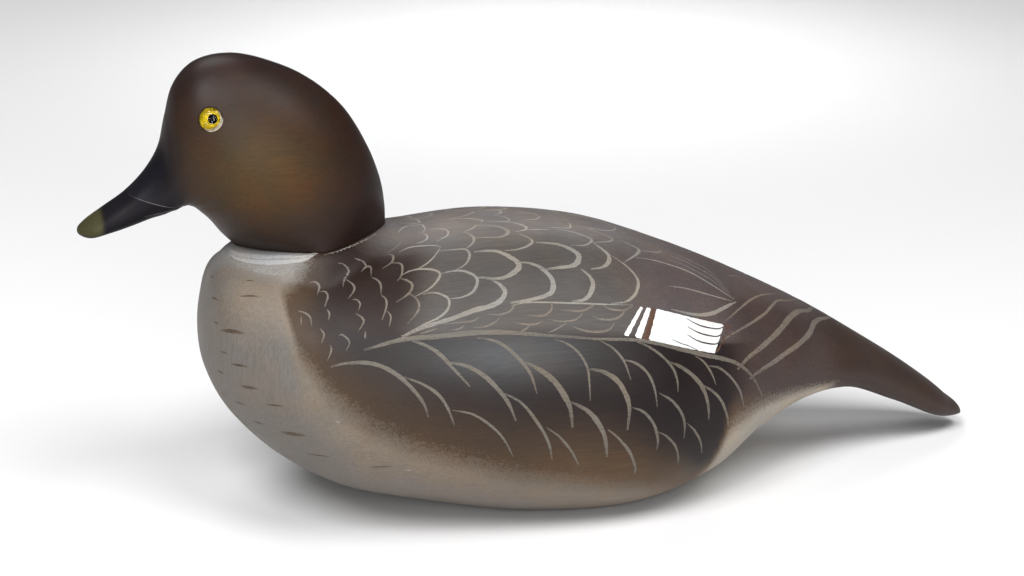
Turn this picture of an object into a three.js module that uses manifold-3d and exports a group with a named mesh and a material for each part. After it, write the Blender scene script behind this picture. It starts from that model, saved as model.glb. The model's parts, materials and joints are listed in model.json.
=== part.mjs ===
// Hollow carved working duck decoy, in millimetres, +Z up, bill towards -X, left side towards -Y.
// The origin is on the floor, under the middle of the decoy.
// A hollowed body block and a bottom board are carved as one hull and joined on a level seam.
// The head is screwed down on a flat neck seat, the bill is let in with a scarf joint,
// the eyes are glass, and a ballast weight and a line tie are let into the bottom.
import * as THREE from 'three';
import * as BufferGeometryUtils from 'three/addons/utils/BufferGeometryUtils.js';
import Module from 'manifold-3d';

const wasm = await Module();
wasm.setup();

// ---------------------------------------------------------------- driving dimensions

const LENGTH = 375;                       // bill tip to tail tip
const NOSE_X = -LENGTH / 2;
const TAIL_X = LENGTH / 2;
const GAP = 0.3;                          // clearance between pieces that rest on each other
const BELOW = -5;                         // start of cutters that come in from under the floor

const SEAM_Z = 20;                        // level joint of the body block and the bottom board
const SEAM_END_X = 120;                   // behind this the tail is part of the body block

const SEAT = { front: [-128, 108], rear: [-68, 112] };   // neck seat line, x and z
const SEAT_HALF_WIDTH = 26;
const SEAT_FAIRING = 0.35;                // width of the fairing round the seat, as a share of it

const HOLLOW = { centre: [-25, 0, 48], radii: [80, 30, 42] };
const DECK_Z = 86;                        // flat ceiling over the neck screw
const NECK_SCREW_X = -88;
const NECK_BORE_RADIUS = 11;
const NECK_SCREW = { radius: 4, top: 145, headHeight: 5.5, acrossFlats: 13 };
const NECK_WASHER = { radius: 9.5, thickness: 1.6 };
const LOCATING_PIN = { x: -114, radius: 3, bottom: 96, top: 124 };

const SCARF = { upper: [-170, 133], lower: [-147.4, 125.6] };   // bill joint line, x and z
const BILL_PIN = { radius: 1.5, length: 10 };

const EYE = { x: -137.9, y: 19.8, z: 163, outward: [-0.32, 0.9, 0.29] };
const EYE_GLASS_RADIUS = 3.9;
const EYE_DOME = 1.3;                     // how far the glass stands out of the head
const EYE_SOCKET = { radius: 5, depth: 6.5 };
const EYE_WIRE = { radius: 0.6, depth: 11 };

const SEAM_DOWEL = { radius: 4, bottom: 12, top: 30 };
const SEAM_DOWEL_PLACES = [[-64, 30], [-64, -30], [52, 30], [52, -30]];

const BOTTOM_SCREW = { headRadius: 4, headHeight: 2.6, radius: 2.1, length: 30, pointLength: 4 };
const BOTTOM_SCREW_PLACES = [             // x, y and the height of the head's face
  [-84, 24, 12], [-84, -24, 12], [-28, 35, 1.2], [-28, -35, 1.2], [30, 36, 1.2], [30, -36, 1.2], [68, 0, 9],
];

const BALLAST = { x: 18, length: 66, width: 26, thickness: 7, recess: 8 };
const BALLAST_SCREW = { headRadius: 3, headHeight: 1.8, radius: 1.5, length: 15, pointLength: 3 };
const BALLAST_SCREW_SPREAD = 40;
const BALLAST_SCREW_FACE_Z = 1.4;

const TIE_RECESS = { x: -34, radius: 13, depth: 10 };
const TIE_EYE = { x: -26, radius: 3.4, wire: 1, z: 4.6, shankTop: 18 };
const TIE_RING = { radius: 8, wire: 1.1 };
const TIE_CLEARANCE = 0.15;               // between the ring and the eye that carries it
const TIE_RING_DROOP = THREE.MathUtils.degToRad(8.3);   // far side of the ring lies just off the floor

// ---------------------------------------------------------------- hull sections

// One rib of a carved form: the inner (keel or throat) point, the outer (ridge or crown) point,
// the half width, how far up the widest place is, and how square it is above and below that.
// A rib of no width is the rounded end of the form.
const BODY_RIBS = [
  [-143, 72, -143, 72, 0, 0.5, 2, 2],
  [-140.5, 56, -140.5, 91, 18, 0.47, 2, 2],
  [-132, 40, -134, 103, 35, 0.45, 2, 2],
  [-115, 23, -117, 107.5, 51, 0.44, 2, 2],
  [-92, 10, -92, 109, 62, 0.43, 2.1, 2.1],
  [-58, 1, -60, 110, 70, 0.42, 2.1, 2.1],
  [-20, -6, -24, 111.5, 75, 0.42, 2.1, 2.2],
  [20, -7, 16, 105.5, 75, 0.41, 2.1, 2.3],
  [54, -1, 52, 91, 64, 0.41, 2.1, 2.3],
  [76, 13.5, 82, 77, 48.5, 0.4, 2.1, 2.2],
  [98, 26, 112, 61, 36, 0.38, 2, 2.2],
  [122, 30.5, 138, 44.5, 27, 0.36, 2, 2.3],
  [148, 22.5, 160, 29.5, 20, 0.36, 2, 2.4],
  [172, 10, 178, 15.5, 13, 0.36, 2, 2.4],
  [TAIL_X, 4.5, TAIL_X, 4.5, 0, 0.4, 2, 2],
];

// The head's ribs turn like a fan about the throat, from the neck round the crown to the bill.
const HEAD_RIBS = [
  [SEAT.front[0], SEAT.front[1] + GAP, SEAT.rear[0], SEAT.rear[1] + GAP, SEAT_HALF_WIDTH, 0.5, 2.2, 2.2],
  [-133, 113.5, -68.5, 121, 27, 0.5, 2.2, 2.2],
  [-137.5, 119.5, -70.5, 132, 28, 0.5, 2.2, 2.2],
  [-142, 124, -75.5, 145.5, 29, 0.5, 2.1, 2.2],
  [-144, 125.5, -84, 160, 28.5, 0.49, 2.1, 2.1],
  [-145.5, 126, -96.5, 171.5, 27, 0.48, 2.1, 2.1],
  [-146.5, 126, -111, 179, 25, 0.47, 2.1, 2],
  [-147.5, 125.5, -126, 183, 22.5, 0.46, 2.1, 2],
  [-148.5, 125, -139.5, 181, 19.5, 0.45, 2.1, 2],
  [-150, 124, -148, 173, 16.5, 0.43, 2.1, 2],
  [-152, 123.5, -152, 161, 14, 0.41, 2, 2],
  [-155, 122.5, -155, 149.5, 12, 0.4, 2, 2],
  [-160, 121.5, -160.5, 140.5, 10.5, 0.4, 2, 2.1],
  [-167, 119.5, -168.5, 132.5, 10, 0.4, 2, 2.2],
  [-175, 117.5, -177.5, 126.5, 9.8, 0.4, 2, 2.2],
  [-183, 116, -184.8, 121.5, 8, 0.42, 2, 2.2],
  [NOSE_X, 118, NOSE_X, 118, 0, 0.5, 2, 2],
];

// firstSide is the side that an outline goes down first, so that the faces look outwards:
// the body's ribs run towards +X, and the head's turn the other way.
const BODY_DETAIL = { perRib: 3, sides: 36, firstSide: -1 };
const HEAD_DETAIL = { perRib: 2, sides: 28, firstSide: 1 };

// ---------------------------------------------------------------- materials

function paint(color, roughness, metalness = 0) {
  return new THREE.MeshStandardMaterial({ color, roughness, metalness });
}

const MATERIALS = {
  body: paint(0x5e5650, 0.55),
  belly: paint(0x827c73, 0.6),
  head: paint(0x4a3b2b, 0.5),
  bill: paint(0x1f1f26, 0.45),
  wood: paint(0xc8a878, 0.7),
  brass: paint(0xb08d47, 0.35, 1),
  steel: paint(0x9a9c9f, 0.35, 1),
  lead: paint(0x6b6d70, 0.6, 1),
  glass: paint(0xe8eef0, 0.05),
  iris: paint(0xd2b820, 0.3),
  pupil: paint(0x0b0b0c, 0.25),
  putty: paint(0x5a4c3a, 0.8),
};

// ---------------------------------------------------------------- carved forms

// Smooth rib values at a place along the list of ribs, counted in ribs.
function ribAt(ribs, place) {
  const last = ribs.length - 1;
  const index = Math.min(Math.floor(place), last - 1);
  const u = place - index;
  const start = ribTangent(ribs, index);
  const end = ribTangent(ribs, index + 1);
  return ribs[index].map((value, k) => {
    const next = ribs[index + 1][k];
    return value * (2 * u ** 3 - 3 * u ** 2 + 1) + start[k] * (u ** 3 - 2 * u ** 2 + u)
      + next * (3 * u ** 2 - 2 * u ** 3) + end[k] * (u ** 3 - u ** 2);
  });
}

const END_FULLNESS = 1.5;                 // makes the rounded ends blunt

function ribTangent(ribs, index) {
  const last = ribs.length - 1;
  const before = ribs[Math.max(index - 1, 0)];
  const after = ribs[Math.min(index + 1, last)];
  const inside = index > 0 && index < last;
  const rounded = !inside && ribs[index][4] === 0;
  return before.map((value, k) => {
    const slope = (after[k] - value) * (inside ? 0.5 : 1);
    if (!rounded) {
      return slope;
    }
    return k === 0 || k === 2 ? 0 : slope * END_FULLNESS;
  });
}

function signedPower(value, power) {
  return Math.sign(value) * Math.abs(value) ** power;
}

// The point of a rib's outline at an angle round it: 0 is the ridge, half a turn is the keel.
function outlinePoint(rib, angle, firstSide) {
  const [innerX, innerZ, outerX, outerZ, halfWidth, widest, above, below] = rib;
  const rise = Math.cos(angle);
  const power = 2 / (rise >= 0 ? above : below);
  const reach = signedPower(rise, power);
  const share = rise >= 0 ? widest + (1 - widest) * reach : widest * (1 + reach);
  return new THREE.Vector3(
    innerX + (outerX - innerX) * share,
    firstSide * halfWidth * signedPower(Math.sin(angle), power),
    innerZ + (outerZ - innerZ) * share,
  );
}

// A closed form through the ribs, with a flat or rounded start and a rounded end.
function carvedForm(ribs, detail, shape = (point) => point) {
  const { perRib, sides, firstSide } = detail;
  const last = ribs.length - 1;
  const roundStart = ribs[0][4] === 0;
  const points = [];
  const rings = [];
  for (let step = 0; step <= last * perRib; step += 1) {
    const pole = step === last * perRib || (step === 0 && roundStart);
    const rib = ribAt(ribs, step / perRib);
    const count = pole ? 1 : sides;
    rings.push({ first: points.length, count });
    for (let side = 0; side < count; side += 1) {
      const angle = 2 * Math.PI * side / sides;
      points.push(shape(outlinePoint(rib, angle, firstSide), angle));
    }
  }
  const triangles = [];
  for (let step = 1; step < rings.length; step += 1) {
    addBand(triangles, rings[step - 1], rings[step], sides);
  }
  if (!roundStart) {
    const centre = points.length;
    const opposite = rings[0].first + sides / 2;
    points.push(points[rings[0].first].clone().lerp(points[opposite], 0.5));
    addBand(triangles, { first: centre, count: 1 }, rings[0], sides);
  }
  const geometry = new THREE.BufferGeometry().setFromPoints(points);
  geometry.setIndex(triangles);
  return geometry;
}

function addBand(triangles, from, to, sides) {
  for (let side = 0; side < sides; side += 1) {
    const next = (side + 1) % sides;
    const [a, b] = from.count === 1 ? [from.first, from.first] : [from.first + side, from.first + next];
    const [c, d] = to.count === 1 ? [to.first, to.first] : [to.first + side, to.first + next];
    if (a !== b) {
      triangles.push(a, b, c);
    }
    if (c !== d) {
      triangles.push(b, d, c);
    }
  }
}

// The top of the body is raised to the flat neck seat, and fairs into the shoulders round it.
function raiseToSeat(point) {
  const [frontX, frontZ] = SEAT.front;
  const [rearX, rearZ] = SEAT.rear;
  const halfLength = (rearX - frontX) / 2;
  const along = Math.abs(point.x - (frontX + rearX) / 2) / halfLength;
  const across = Math.abs(point.y) / SEAT_HALF_WIDTH;
  const out = (along ** 2.2 + across ** 2.2) ** (1 / 2.2);
  const blend = 1 - THREE.MathUtils.smoothstep(out, 1, 1 + SEAT_FAIRING);
  const seatZ = frontZ + (rearZ - frontZ) * (point.x - frontX) / (rearX - frontX);
  return point.z + (seatZ - point.z) * blend;
}

// The hull is flat where it would go under the floor.
function shapeHull(point, angle) {
  if (Math.cos(angle) > 0) {
    point.z = raiseToSeat(point);
  }
  point.z = Math.max(point.z, 0);
  return point;
}

// ---------------------------------------------------------------- solids

function toSolid(geometry) {
  let plain = geometry.index ? geometry.clone() : geometry;
  plain.deleteAttribute('normal');
  plain.deleteAttribute('uv');
  plain = BufferGeometryUtils.mergeVertices(plain, 1e-4);
  return new wasm.Manifold(new wasm.Mesh({
    numProp: 3,
    vertProperties: new Float32Array(plain.attributes.position.array),
    triVerts: new Uint32Array(plain.index.array),
  }));
}

function toGeometry(solid) {
  const mesh = solid.getMesh();
  const geometry = new THREE.BufferGeometry();
  geometry.setAttribute('position', new THREE.BufferAttribute(mesh.vertProperties, 3));
  geometry.setIndex(new THREE.BufferAttribute(mesh.triVerts, 1));
  geometry.computeVertexNormals();
  return geometry;
}

function cutAway(solid, cutters) {
  return cutters.reduce((left, cutter) => left.subtract(cutter), solid);
}

// A solid of revolution round Z, from [radius, z] points that start and end on the axis.
function turned(profile, sides = 20) {
  return new THREE.LatheGeometry(profile.map(([r, z]) => new THREE.Vector2(r, z)), sides).rotateX(Math.PI / 2);
}

function rod(radius, bottom, top, sides = 20) {
  return turned([[0, bottom], [radius, bottom], [radius, top], [0, top]], sides);
}

function rodAt(x, y, radius, bottom, top, sides = 20) {
  return toSolid(rod(radius, bottom, top, sides).translate(x, y, 0));
}

function block(x0, x1, halfWidth, z0, z1) {
  const box = new THREE.BoxGeometry(x1 - x0, 2 * halfWidth, z1 - z0);
  return toSolid(box.translate((x0 + x1) / 2, 0, (z0 + z1) / 2));
}

// A countersunk wood screw with its face at z = 0 and its point upwards.
function woodScrew({ headRadius, headHeight, radius, length, pointLength }) {
  return turned([
    [0, 0], [headRadius, 0], [headRadius, 0.4], [radius, headHeight],
    [radius, length - pointLength], [0, length],
  ], 14);
}

// The hole that a wood screw needs, open all the way down.
function screwHole({ headRadius, headHeight, radius, length }, x, y, faceZ) {
  const wide = headRadius + GAP;
  const narrow = radius + GAP;
  return toSolid(turned([
    [0, BELOW - faceZ], [wide, BELOW - faceZ], [wide, 0.4], [narrow, headHeight + GAP],
    [narrow, length + GAP], [0, length + GAP],
  ], 14).translate(x, y, faceZ));
}

// ---------------------------------------------------------------- assembly

const decoy = new THREE.Group();

function addPiece(name, geometry, material, parent = decoy) {
  const mesh = new THREE.Mesh(geometry, material);
  mesh.name = name;
  parent.add(mesh);
  return mesh;
}

// ---- hull: body block and bottom board

function boardRegion(seamZ) {
  return block(NOSE_X - 10, SEAM_END_X, LENGTH / 2, BELOW, seamZ);
}

function seamDowelHoles() {
  const { radius, bottom, top } = SEAM_DOWEL;
  return SEAM_DOWEL_PLACES.map(([x, y]) => rodAt(x, y, radius + GAP, bottom - GAP, top + GAP));
}

function bottomScrewHoles() {
  return BOTTOM_SCREW_PLACES.map(([x, y, faceZ]) => screwHole(BOTTOM_SCREW, x, y, faceZ));
}

function hollowCutters() {
  const chamber = new THREE.SphereGeometry(1, 20, 12).scale(...HOLLOW.radii).translate(...HOLLOW.centre);
  const neckBore = rodAt(NECK_SCREW_X, 0, NECK_BORE_RADIUS, SEAM_Z - 1, DECK_Z);
  return [toSolid(chamber), neckBore];
}

function neckHoles() {
  const { radius, top } = NECK_SCREW;
  return [
    rodAt(NECK_SCREW_X, 0, radius + GAP, DECK_Z - 1, top + 2),
    rodAt(LOCATING_PIN.x, 0, LOCATING_PIN.radius + GAP, LOCATING_PIN.bottom - GAP, LOCATING_PIN.top + GAP),
  ];
}

function ballastRecess() {
  const { x, length, width, recess } = BALLAST;
  return block(x - length / 2 - 1, x + length / 2 + 1, width / 2 + 1, BELOW, recess);
}

function ballastScrewPlaces() {
  return [BALLAST.x - BALLAST_SCREW_SPREAD / 2, BALLAST.x + BALLAST_SCREW_SPREAD / 2];
}

function ballastScrewHoles() {
  return ballastScrewPlaces().map((x) => screwHole(BALLAST_SCREW, x, 0, BALLAST_SCREW_FACE_Z));
}

function tieCutters() {
  return [
    rodAt(TIE_RECESS.x, 0, TIE_RECESS.radius, BELOW, TIE_RECESS.depth, 40),
    rodAt(TIE_EYE.x, 0, TIE_EYE.wire + GAP, 0, TIE_EYE.shankTop + GAP, 12),
  ];
}

function addHull() {
  const hull = toSolid(carvedForm(BODY_RIBS, BODY_DETAIL, shapeHull));
  const joints = [...seamDowelHoles(), ...bottomScrewHoles()];
  const bodyBlock = cutAway(hull, [
    boardRegion(SEAM_Z + GAP / 2), ...hollowCutters(), ...neckHoles(), ...joints,
  ]);
  const bottomBoard = cutAway(hull.intersect(boardRegion(SEAM_Z - GAP / 2)), [
    ballastRecess(), ...ballastScrewHoles(), ...tieCutters(), ...joints,
  ]);
  addPiece('body_block', toGeometry(bodyBlock), MATERIALS.body);
  addPiece('bottom_board', toGeometry(bottomBoard), MATERIALS.belly);
}

function addHullFasteners() {
  SEAM_DOWEL_PLACES.forEach(([x, y], index) => {
    const dowel = rod(SEAM_DOWEL.radius, 0, SEAM_DOWEL.top - SEAM_DOWEL.bottom);
    addPiece(`seam_dowel_${index + 1}`, dowel, MATERIALS.wood).position.set(x, y, SEAM_DOWEL.bottom);
  });
  BOTTOM_SCREW_PLACES.forEach(([x, y, faceZ], index) => {
    addPiece(`bottom_screw_${index + 1}`, woodScrew(BOTTOM_SCREW), MATERIALS.brass).position.set(x, y, faceZ);
  });
}

// ---- ballast and line tie, let into the bottom

function addBallast() {
  const { x, length, width, thickness } = BALLAST;
  const bar = block(x - length / 2, x + length / 2, width / 2, 0.5, 0.5 + thickness);
  addPiece('lead_ballast', toGeometry(cutAway(bar, ballastScrewHoles())), MATERIALS.lead);
  ballastScrewPlaces().forEach((place, index) => {
    const screw = addPiece(`ballast_screw_${index + 1}`, woodScrew(BALLAST_SCREW), MATERIALS.brass);
    screw.position.set(place, 0, BALLAST_SCREW_FACE_Z);
  });
}

function addLineTie() {
  const loop = new THREE.TorusGeometry(TIE_EYE.radius, TIE_EYE.wire, 8, 24).rotateX(Math.PI / 2);
  const shankBottom = TIE_EYE.z + TIE_EYE.radius;
  const shank = rodAt(TIE_EYE.x, 0, TIE_EYE.wire, shankBottom, TIE_EYE.shankTop, 12);
  const screwEye = toSolid(loop.translate(TIE_EYE.x, 0, TIE_EYE.z)).add(shank);
  addPiece('line_tie_eye', toGeometry(screwEye), MATERIALS.brass);

  // The ring hangs on the lower wire of the screw eye, and turns about the place where they touch.
  const pivotZ = TIE_EYE.z - TIE_EYE.radius + TIE_EYE.wire + TIE_CLEARANCE + TIE_RING.wire;
  const ring = new THREE.TorusGeometry(TIE_RING.radius, TIE_RING.wire, 8, 32).translate(-TIE_RING.radius, 0, 0);
  const mesh = addPiece('line_tie_ring', ring, MATERIALS.brass);
  mesh.position.set(TIE_EYE.x, 0, pivotZ);
  mesh.rotation.y = -TIE_RING_DROOP;
}

// ---- head, bill and what holds them

// A long block under the scarf plane that ends at the corner of the mouth.
function underScarf(offset) {
  const [upperX, upperZ] = SCARF.upper;
  const [lowerX, lowerZ] = SCARF.lower;
  const slope = Math.atan2(upperZ - lowerZ, lowerX - upperX);
  const length = 80;
  const depth = 40;
  const wedge = new THREE.BoxGeometry(length, 60, depth);
  wedge.translate(offset - length / 2, 0, offset - depth / 2);
  return toSolid(wedge.rotateY(slope).translate(lowerX, 0, lowerZ));
}

function billPinGeometry(radius, length) {
  const [upperX, upperZ] = SCARF.upper;
  const [lowerX, lowerZ] = SCARF.lower;
  const slope = Math.atan2(upperZ - lowerZ, lowerX - upperX);
  return rod(radius, -length / 2, length / 2, 16).rotateY(slope)
    .translate((upperX + lowerX) / 2, 0, (upperZ + lowerZ) / 2);
}

function eyeCutters(eye) {
  const socket = rod(EYE_SOCKET.radius, -EYE_SOCKET.depth, 6, 32);
  const wireHole = rod(EYE_WIRE.radius + GAP, -EYE_WIRE.depth - GAP, 0, 12);
  return [socket, wireHole].map((geometry) => toSolid(geometry.applyMatrix4(eye.matrixWorld)));
}

// An eye's own frame: +Z looks out of the head, and z = 0 is level with the feathers.
function eyeGroup(side) {
  const eye = new THREE.Group();
  const outward = new THREE.Vector3(EYE.outward[0], EYE.outward[1] * side, EYE.outward[2]).normalize();
  eye.position.set(EYE.x, EYE.y * side, EYE.z);
  eye.quaternion.setFromUnitVectors(new THREE.Vector3(0, 0, 1), outward);
  decoy.add(eye);
  eye.updateMatrixWorld(true);
  return eye;
}

function addHead(eyes) {
  const form = toSolid(carvedForm(HEAD_RIBS, HEAD_DETAIL));
  const pinHole = toSolid(billPinGeometry(BILL_PIN.radius + GAP, BILL_PIN.length + 2 * GAP));
  const head = cutAway(form, [
    underScarf(GAP / 2), pinHole, ...neckHoles(), ...eyes.flatMap((eye) => eyeCutters(eye)),
  ]);
  addPiece('head', toGeometry(head), MATERIALS.head);
  const bill = form.intersect(underScarf(-GAP / 2)).subtract(pinHole);
  addPiece('bill', toGeometry(bill), MATERIALS.bill);
  addPiece('bill_pin', billPinGeometry(BILL_PIN.radius, BILL_PIN.length), MATERIALS.wood);
}

function addNeckFastening() {
  const { radius, top, headHeight, acrossFlats } = NECK_SCREW;
  const washerTop = DECK_Z - GAP;
  const washerBottom = washerTop - NECK_WASHER.thickness;
  const headTop = washerBottom - GAP;
  const hexRadius = acrossFlats / 2 / Math.cos(Math.PI / 6);
  const hexHead = rodAt(0, 0, hexRadius, -headHeight, 0, 6);
  const tip = 6;
  const shankTop = top - headTop;
  const shank = toSolid(turned([
    [0, -1], [radius, -1], [radius, shankTop - tip], [radius / 4, shankTop], [0, shankTop],
  ]));
  const screw = addPiece('neck_lag_screw', toGeometry(hexHead.add(shank)), MATERIALS.steel);
  screw.position.set(NECK_SCREW_X, 0, headTop);

  const bore = radius + GAP;
  const { radius: rim, thickness } = NECK_WASHER;
  const washer = turned([[bore, 0], [rim, 0], [rim, thickness], [bore, thickness], [bore, 0]], 32);
  addPiece('neck_washer', washer, MATERIALS.steel).position.set(NECK_SCREW_X, 0, washerBottom);

  const pin = rod(LOCATING_PIN.radius, 0, LOCATING_PIN.top - LOCATING_PIN.bottom, 16);
  addPiece('neck_locating_pin', pin, MATERIALS.wood).position.set(LOCATING_PIN.x, 0, LOCATING_PIN.bottom);
}

// ---- eyes

const IRIS_Z = -2.9;                      // the iris and the pupil lie on the back of the glass
const IRIS_THICKNESS = 0.6;
const GLASS_BACK_Z = IRIS_Z + IRIS_THICKNESS + GAP;
const PUPIL_RADIUS = 1.75;
const PUTTY_FLOOR_Z = -4.6;

function domeProfile(radius, edgeZ, topZ, steps = 5) {
  return Array.from({ length: steps + 1 }, (_, step) => {
    const angle = (step / steps) * (Math.PI / 2);
    return [radius * Math.cos(angle), edgeZ + (topZ - edgeZ) * Math.sin(angle)];
  });
}

function addEye(eye, side) {
  const glass = turned([[0, GLASS_BACK_Z], [EYE_GLASS_RADIUS, GLASS_BACK_Z],
    ...domeProfile(EYE_GLASS_RADIUS, -0.6, EYE_DOME)], 24);
  addPiece(`eye_glass_${side}`, glass, MATERIALS.glass, eye);

  const pupilHole = PUPIL_RADIUS + GAP;
  const irisRim = EYE_GLASS_RADIUS - 0.1;
  const irisTop = IRIS_Z + IRIS_THICKNESS;
  const iris = turned([[pupilHole, IRIS_Z], [irisRim, IRIS_Z], [irisRim, irisTop], [pupilHole, irisTop],
    [pupilHole, IRIS_Z]], 24);
  addPiece(`eye_iris_${side}`, iris, MATERIALS.iris, eye);
  addPiece(`eye_pupil_${side}`, rod(PUPIL_RADIUS, IRIS_Z, irisTop), MATERIALS.pupil, eye);

  const wire = rod(EYE_WIRE.radius, -EYE_WIRE.depth, IRIS_Z - GAP, 10);
  addPiece(`eye_wire_${side}`, wire, MATERIALS.steel, eye);

  const rim = EYE_SOCKET.radius - GAP;
  const bed = EYE_GLASS_RADIUS + GAP;
  const wireBore = EYE_WIRE.radius + GAP;
  const floorZ = GAP - EYE_SOCKET.depth;
  const putty = turned([[wireBore, floorZ], [rim, floorZ], [rim, 0], [bed, 0.1], [bed, PUTTY_FLOOR_Z],
    [wireBore, PUTTY_FLOOR_Z], [wireBore, floorZ]], 24);
  addPiece(`eye_putty_${side}`, putty, MATERIALS.putty, eye);
}

// ---------------------------------------------------------------- build

const leftEye = eyeGroup(-1);
const rightEye = eyeGroup(1);
addHull();
addHullFasteners();
addBallast();
addLineTie();
addHead([leftEye, rightEye]);
addNeckFastening();
addEye(leftEye, 'left');
addEye(rightEye, 'right');

export default decoy;
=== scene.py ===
"""The looks of a hollow carved duck decoy: oil paint over carved wood, painted feather edges, glass eyes.

The body and the head are carved forms lofted through ribs. Paint is laid on the body by its own
coordinates: x along the duck in millimetres, and the angle round it in degrees, 0 on the ridge of
the back, 90 at the widest place and 180 on the keel.
"""
import json
import math

import bmesh
import bpy
import numpy as np
from mathutils import Matrix, Vector
from mathutils.bvhtree import BVHTree


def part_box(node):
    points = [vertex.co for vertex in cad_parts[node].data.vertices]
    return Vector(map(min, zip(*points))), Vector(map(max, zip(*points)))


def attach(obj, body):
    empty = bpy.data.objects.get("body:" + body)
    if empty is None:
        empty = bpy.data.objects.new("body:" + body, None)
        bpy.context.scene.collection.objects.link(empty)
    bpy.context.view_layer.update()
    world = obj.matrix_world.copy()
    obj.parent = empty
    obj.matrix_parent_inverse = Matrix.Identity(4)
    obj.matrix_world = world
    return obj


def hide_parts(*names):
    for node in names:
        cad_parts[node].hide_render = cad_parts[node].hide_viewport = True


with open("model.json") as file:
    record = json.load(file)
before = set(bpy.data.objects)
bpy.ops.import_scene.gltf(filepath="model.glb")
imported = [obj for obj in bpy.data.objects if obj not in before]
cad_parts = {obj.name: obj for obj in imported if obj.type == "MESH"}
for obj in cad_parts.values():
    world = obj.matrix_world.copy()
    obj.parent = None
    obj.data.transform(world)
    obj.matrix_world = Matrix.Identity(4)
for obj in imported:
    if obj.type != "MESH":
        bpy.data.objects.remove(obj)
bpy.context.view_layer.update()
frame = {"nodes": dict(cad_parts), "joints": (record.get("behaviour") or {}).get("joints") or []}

MM = 0.001
SHARP_ANGLE = math.radians(40)

# ------------------------------------------------------------------ carved forms, in millimetres

LENGTH = 375
NOSE_X = -LENGTH / 2
TAIL_X = LENGTH / 2
SEAM_Z = 20
SEAM_END_X = 120
SEAM_LINE = 0.01                      # half the open width of a glued seam
SEAT_FRONT = (-128, 108)              # neck seat, x and z
SEAT_REAR = (-68, 112)
SEAT_HALF_WIDTH = 27
SEAT_POINTED = 1.35                   # 1 is a diamond, 2 an ellipse
SEAT_FAIRING = 0.35
NECK_LINE = 0.15                      # open width of the neck seam
SCARF_UPPER = (-170, 133)             # bill joint line, x and z
SCARF_LOWER = (-147.4, 125.6)

# One rib: the inner (keel or throat) x and z, the outer (ridge or crown) x and z, the half width,
# how far up the widest place is, and how square the rib is above and below that.
BODY_RIBS = [
    (-143, 72, -143, 72, 0, 0.5, 2, 2),
    (-140.5, 56, -140.5, 91, 18, 0.47, 2, 2),
    (-132, 40, -134, 103, 35, 0.45, 2, 2),
    (-115, 23, -117, 107.5, 51, 0.44, 2, 2),
    (-92, 10, -92, 109, 62, 0.43, 2.1, 2.1),
    (-58, 1, -60, 110, 70, 0.42, 2.1, 2.1),
    (-20, -6, -24, 111.5, 75, 0.42, 2.1, 2.2),
    (20, -7, 16, 105.5, 75, 0.41, 2.1, 2.2),
    (54, -1, 52, 92.2, 64, 0.41, 2.1, 1.95),
    (76, 13.5, 82, 78.4, 48.5, 0.4, 2.1, 2),
    (98, 25.8, 112, 62.4, 36, 0.38, 2, 2.2),
    (122, 29.2, 138, 45.9, 27, 0.37, 2, 2.5),
    (148, 19.3, 160, 30.9, 20.5, 0.38, 2, 2.8),
    (172, 7.8, 178, 16.5, 13.5, 0.4, 2, 2.7),
    (TAIL_X, 4.5, TAIL_X, 4.5, 0, 0.4, 2, 2),
]
HEAD_RIBS = [
    (SEAT_FRONT[0], SEAT_FRONT[1] + NECK_LINE, SEAT_REAR[0], SEAT_REAR[1] + NECK_LINE, SEAT_HALF_WIDTH,
     0.5, SEAT_POINTED, SEAT_POINTED),
    (-133, 113.5, -68.5, 121, 27.5, 0.5, 1.75, 1.8),
    (-137.5, 119.5, -70.5, 132, 28.5, 0.5, 2, 2.1),
    (-142, 124, -75.5, 145.5, 29, 0.5, 2.1, 2.2),
    (-144, 125.5, -84, 160, 28.5, 0.49, 2.1, 2.1),
    (-145.5, 126, -96.5, 171.5, 27, 0.48, 2.1, 2.1),
    (-146.5, 126, -111, 179, 25, 0.47, 2.1, 2),
    (-147.5, 125.5, -126, 183, 22.5, 0.46, 2.1, 2),
    (-148.5, 125, -139.5, 181, 19.5, 0.45, 2.1, 2),
    (-150, 124, -148, 173, 16.5, 0.43, 2.1, 2),
    (-152, 123.5, -152, 161, 14, 0.41, 2, 2),
    (-155, 122.5, -155, 149.5, 12, 0.4, 2, 2),
    (-160, 121.5, -160.5, 140.5, 10.5, 0.4, 2, 2.1),
    (-167, 119.5, -168.5, 132.5, 10, 0.4, 2, 2.2),
    (-175, 117.5, -177.5, 126.5, 9.8, 0.4, 2, 2.2),
    (-183, 116, -184.8, 121.5, 8, 0.42, 2, 2.2),
    (NOSE_X, 118, NOSE_X, 118, 0, 0.5, 2, 2),
]
HALF_WIDTH_COLUMN = 4
X_COLUMNS = [0, 2]
END_FULLNESS = 1.5                    # makes the rounded ends blunt


def slopes_of(rows):
    """The slope of every value at every row of a table that is followed smoothly."""
    slopes = np.empty_like(rows)
    slopes[1:-1] = (rows[2:] - rows[:-2]) / 2
    slopes[0] = rows[1] - rows[0]
    slopes[-1] = rows[-1] - rows[-2]
    return slopes


def smooth_rows(rows, slopes, places):
    """Smooth values at places along the rows, counted in rows."""
    index = np.clip(np.floor(places).astype(int), 0, len(rows) - 2)
    u = (places - index)[:, None]
    return (rows[index] * (2 * u**3 - 3 * u**2 + 1) + slopes[index] * (u**3 - 2 * u**2 + u)
            + rows[index + 1] * (3 * u**2 - 2 * u**3) + slopes[index + 1] * (u**3 - u**2))


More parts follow.
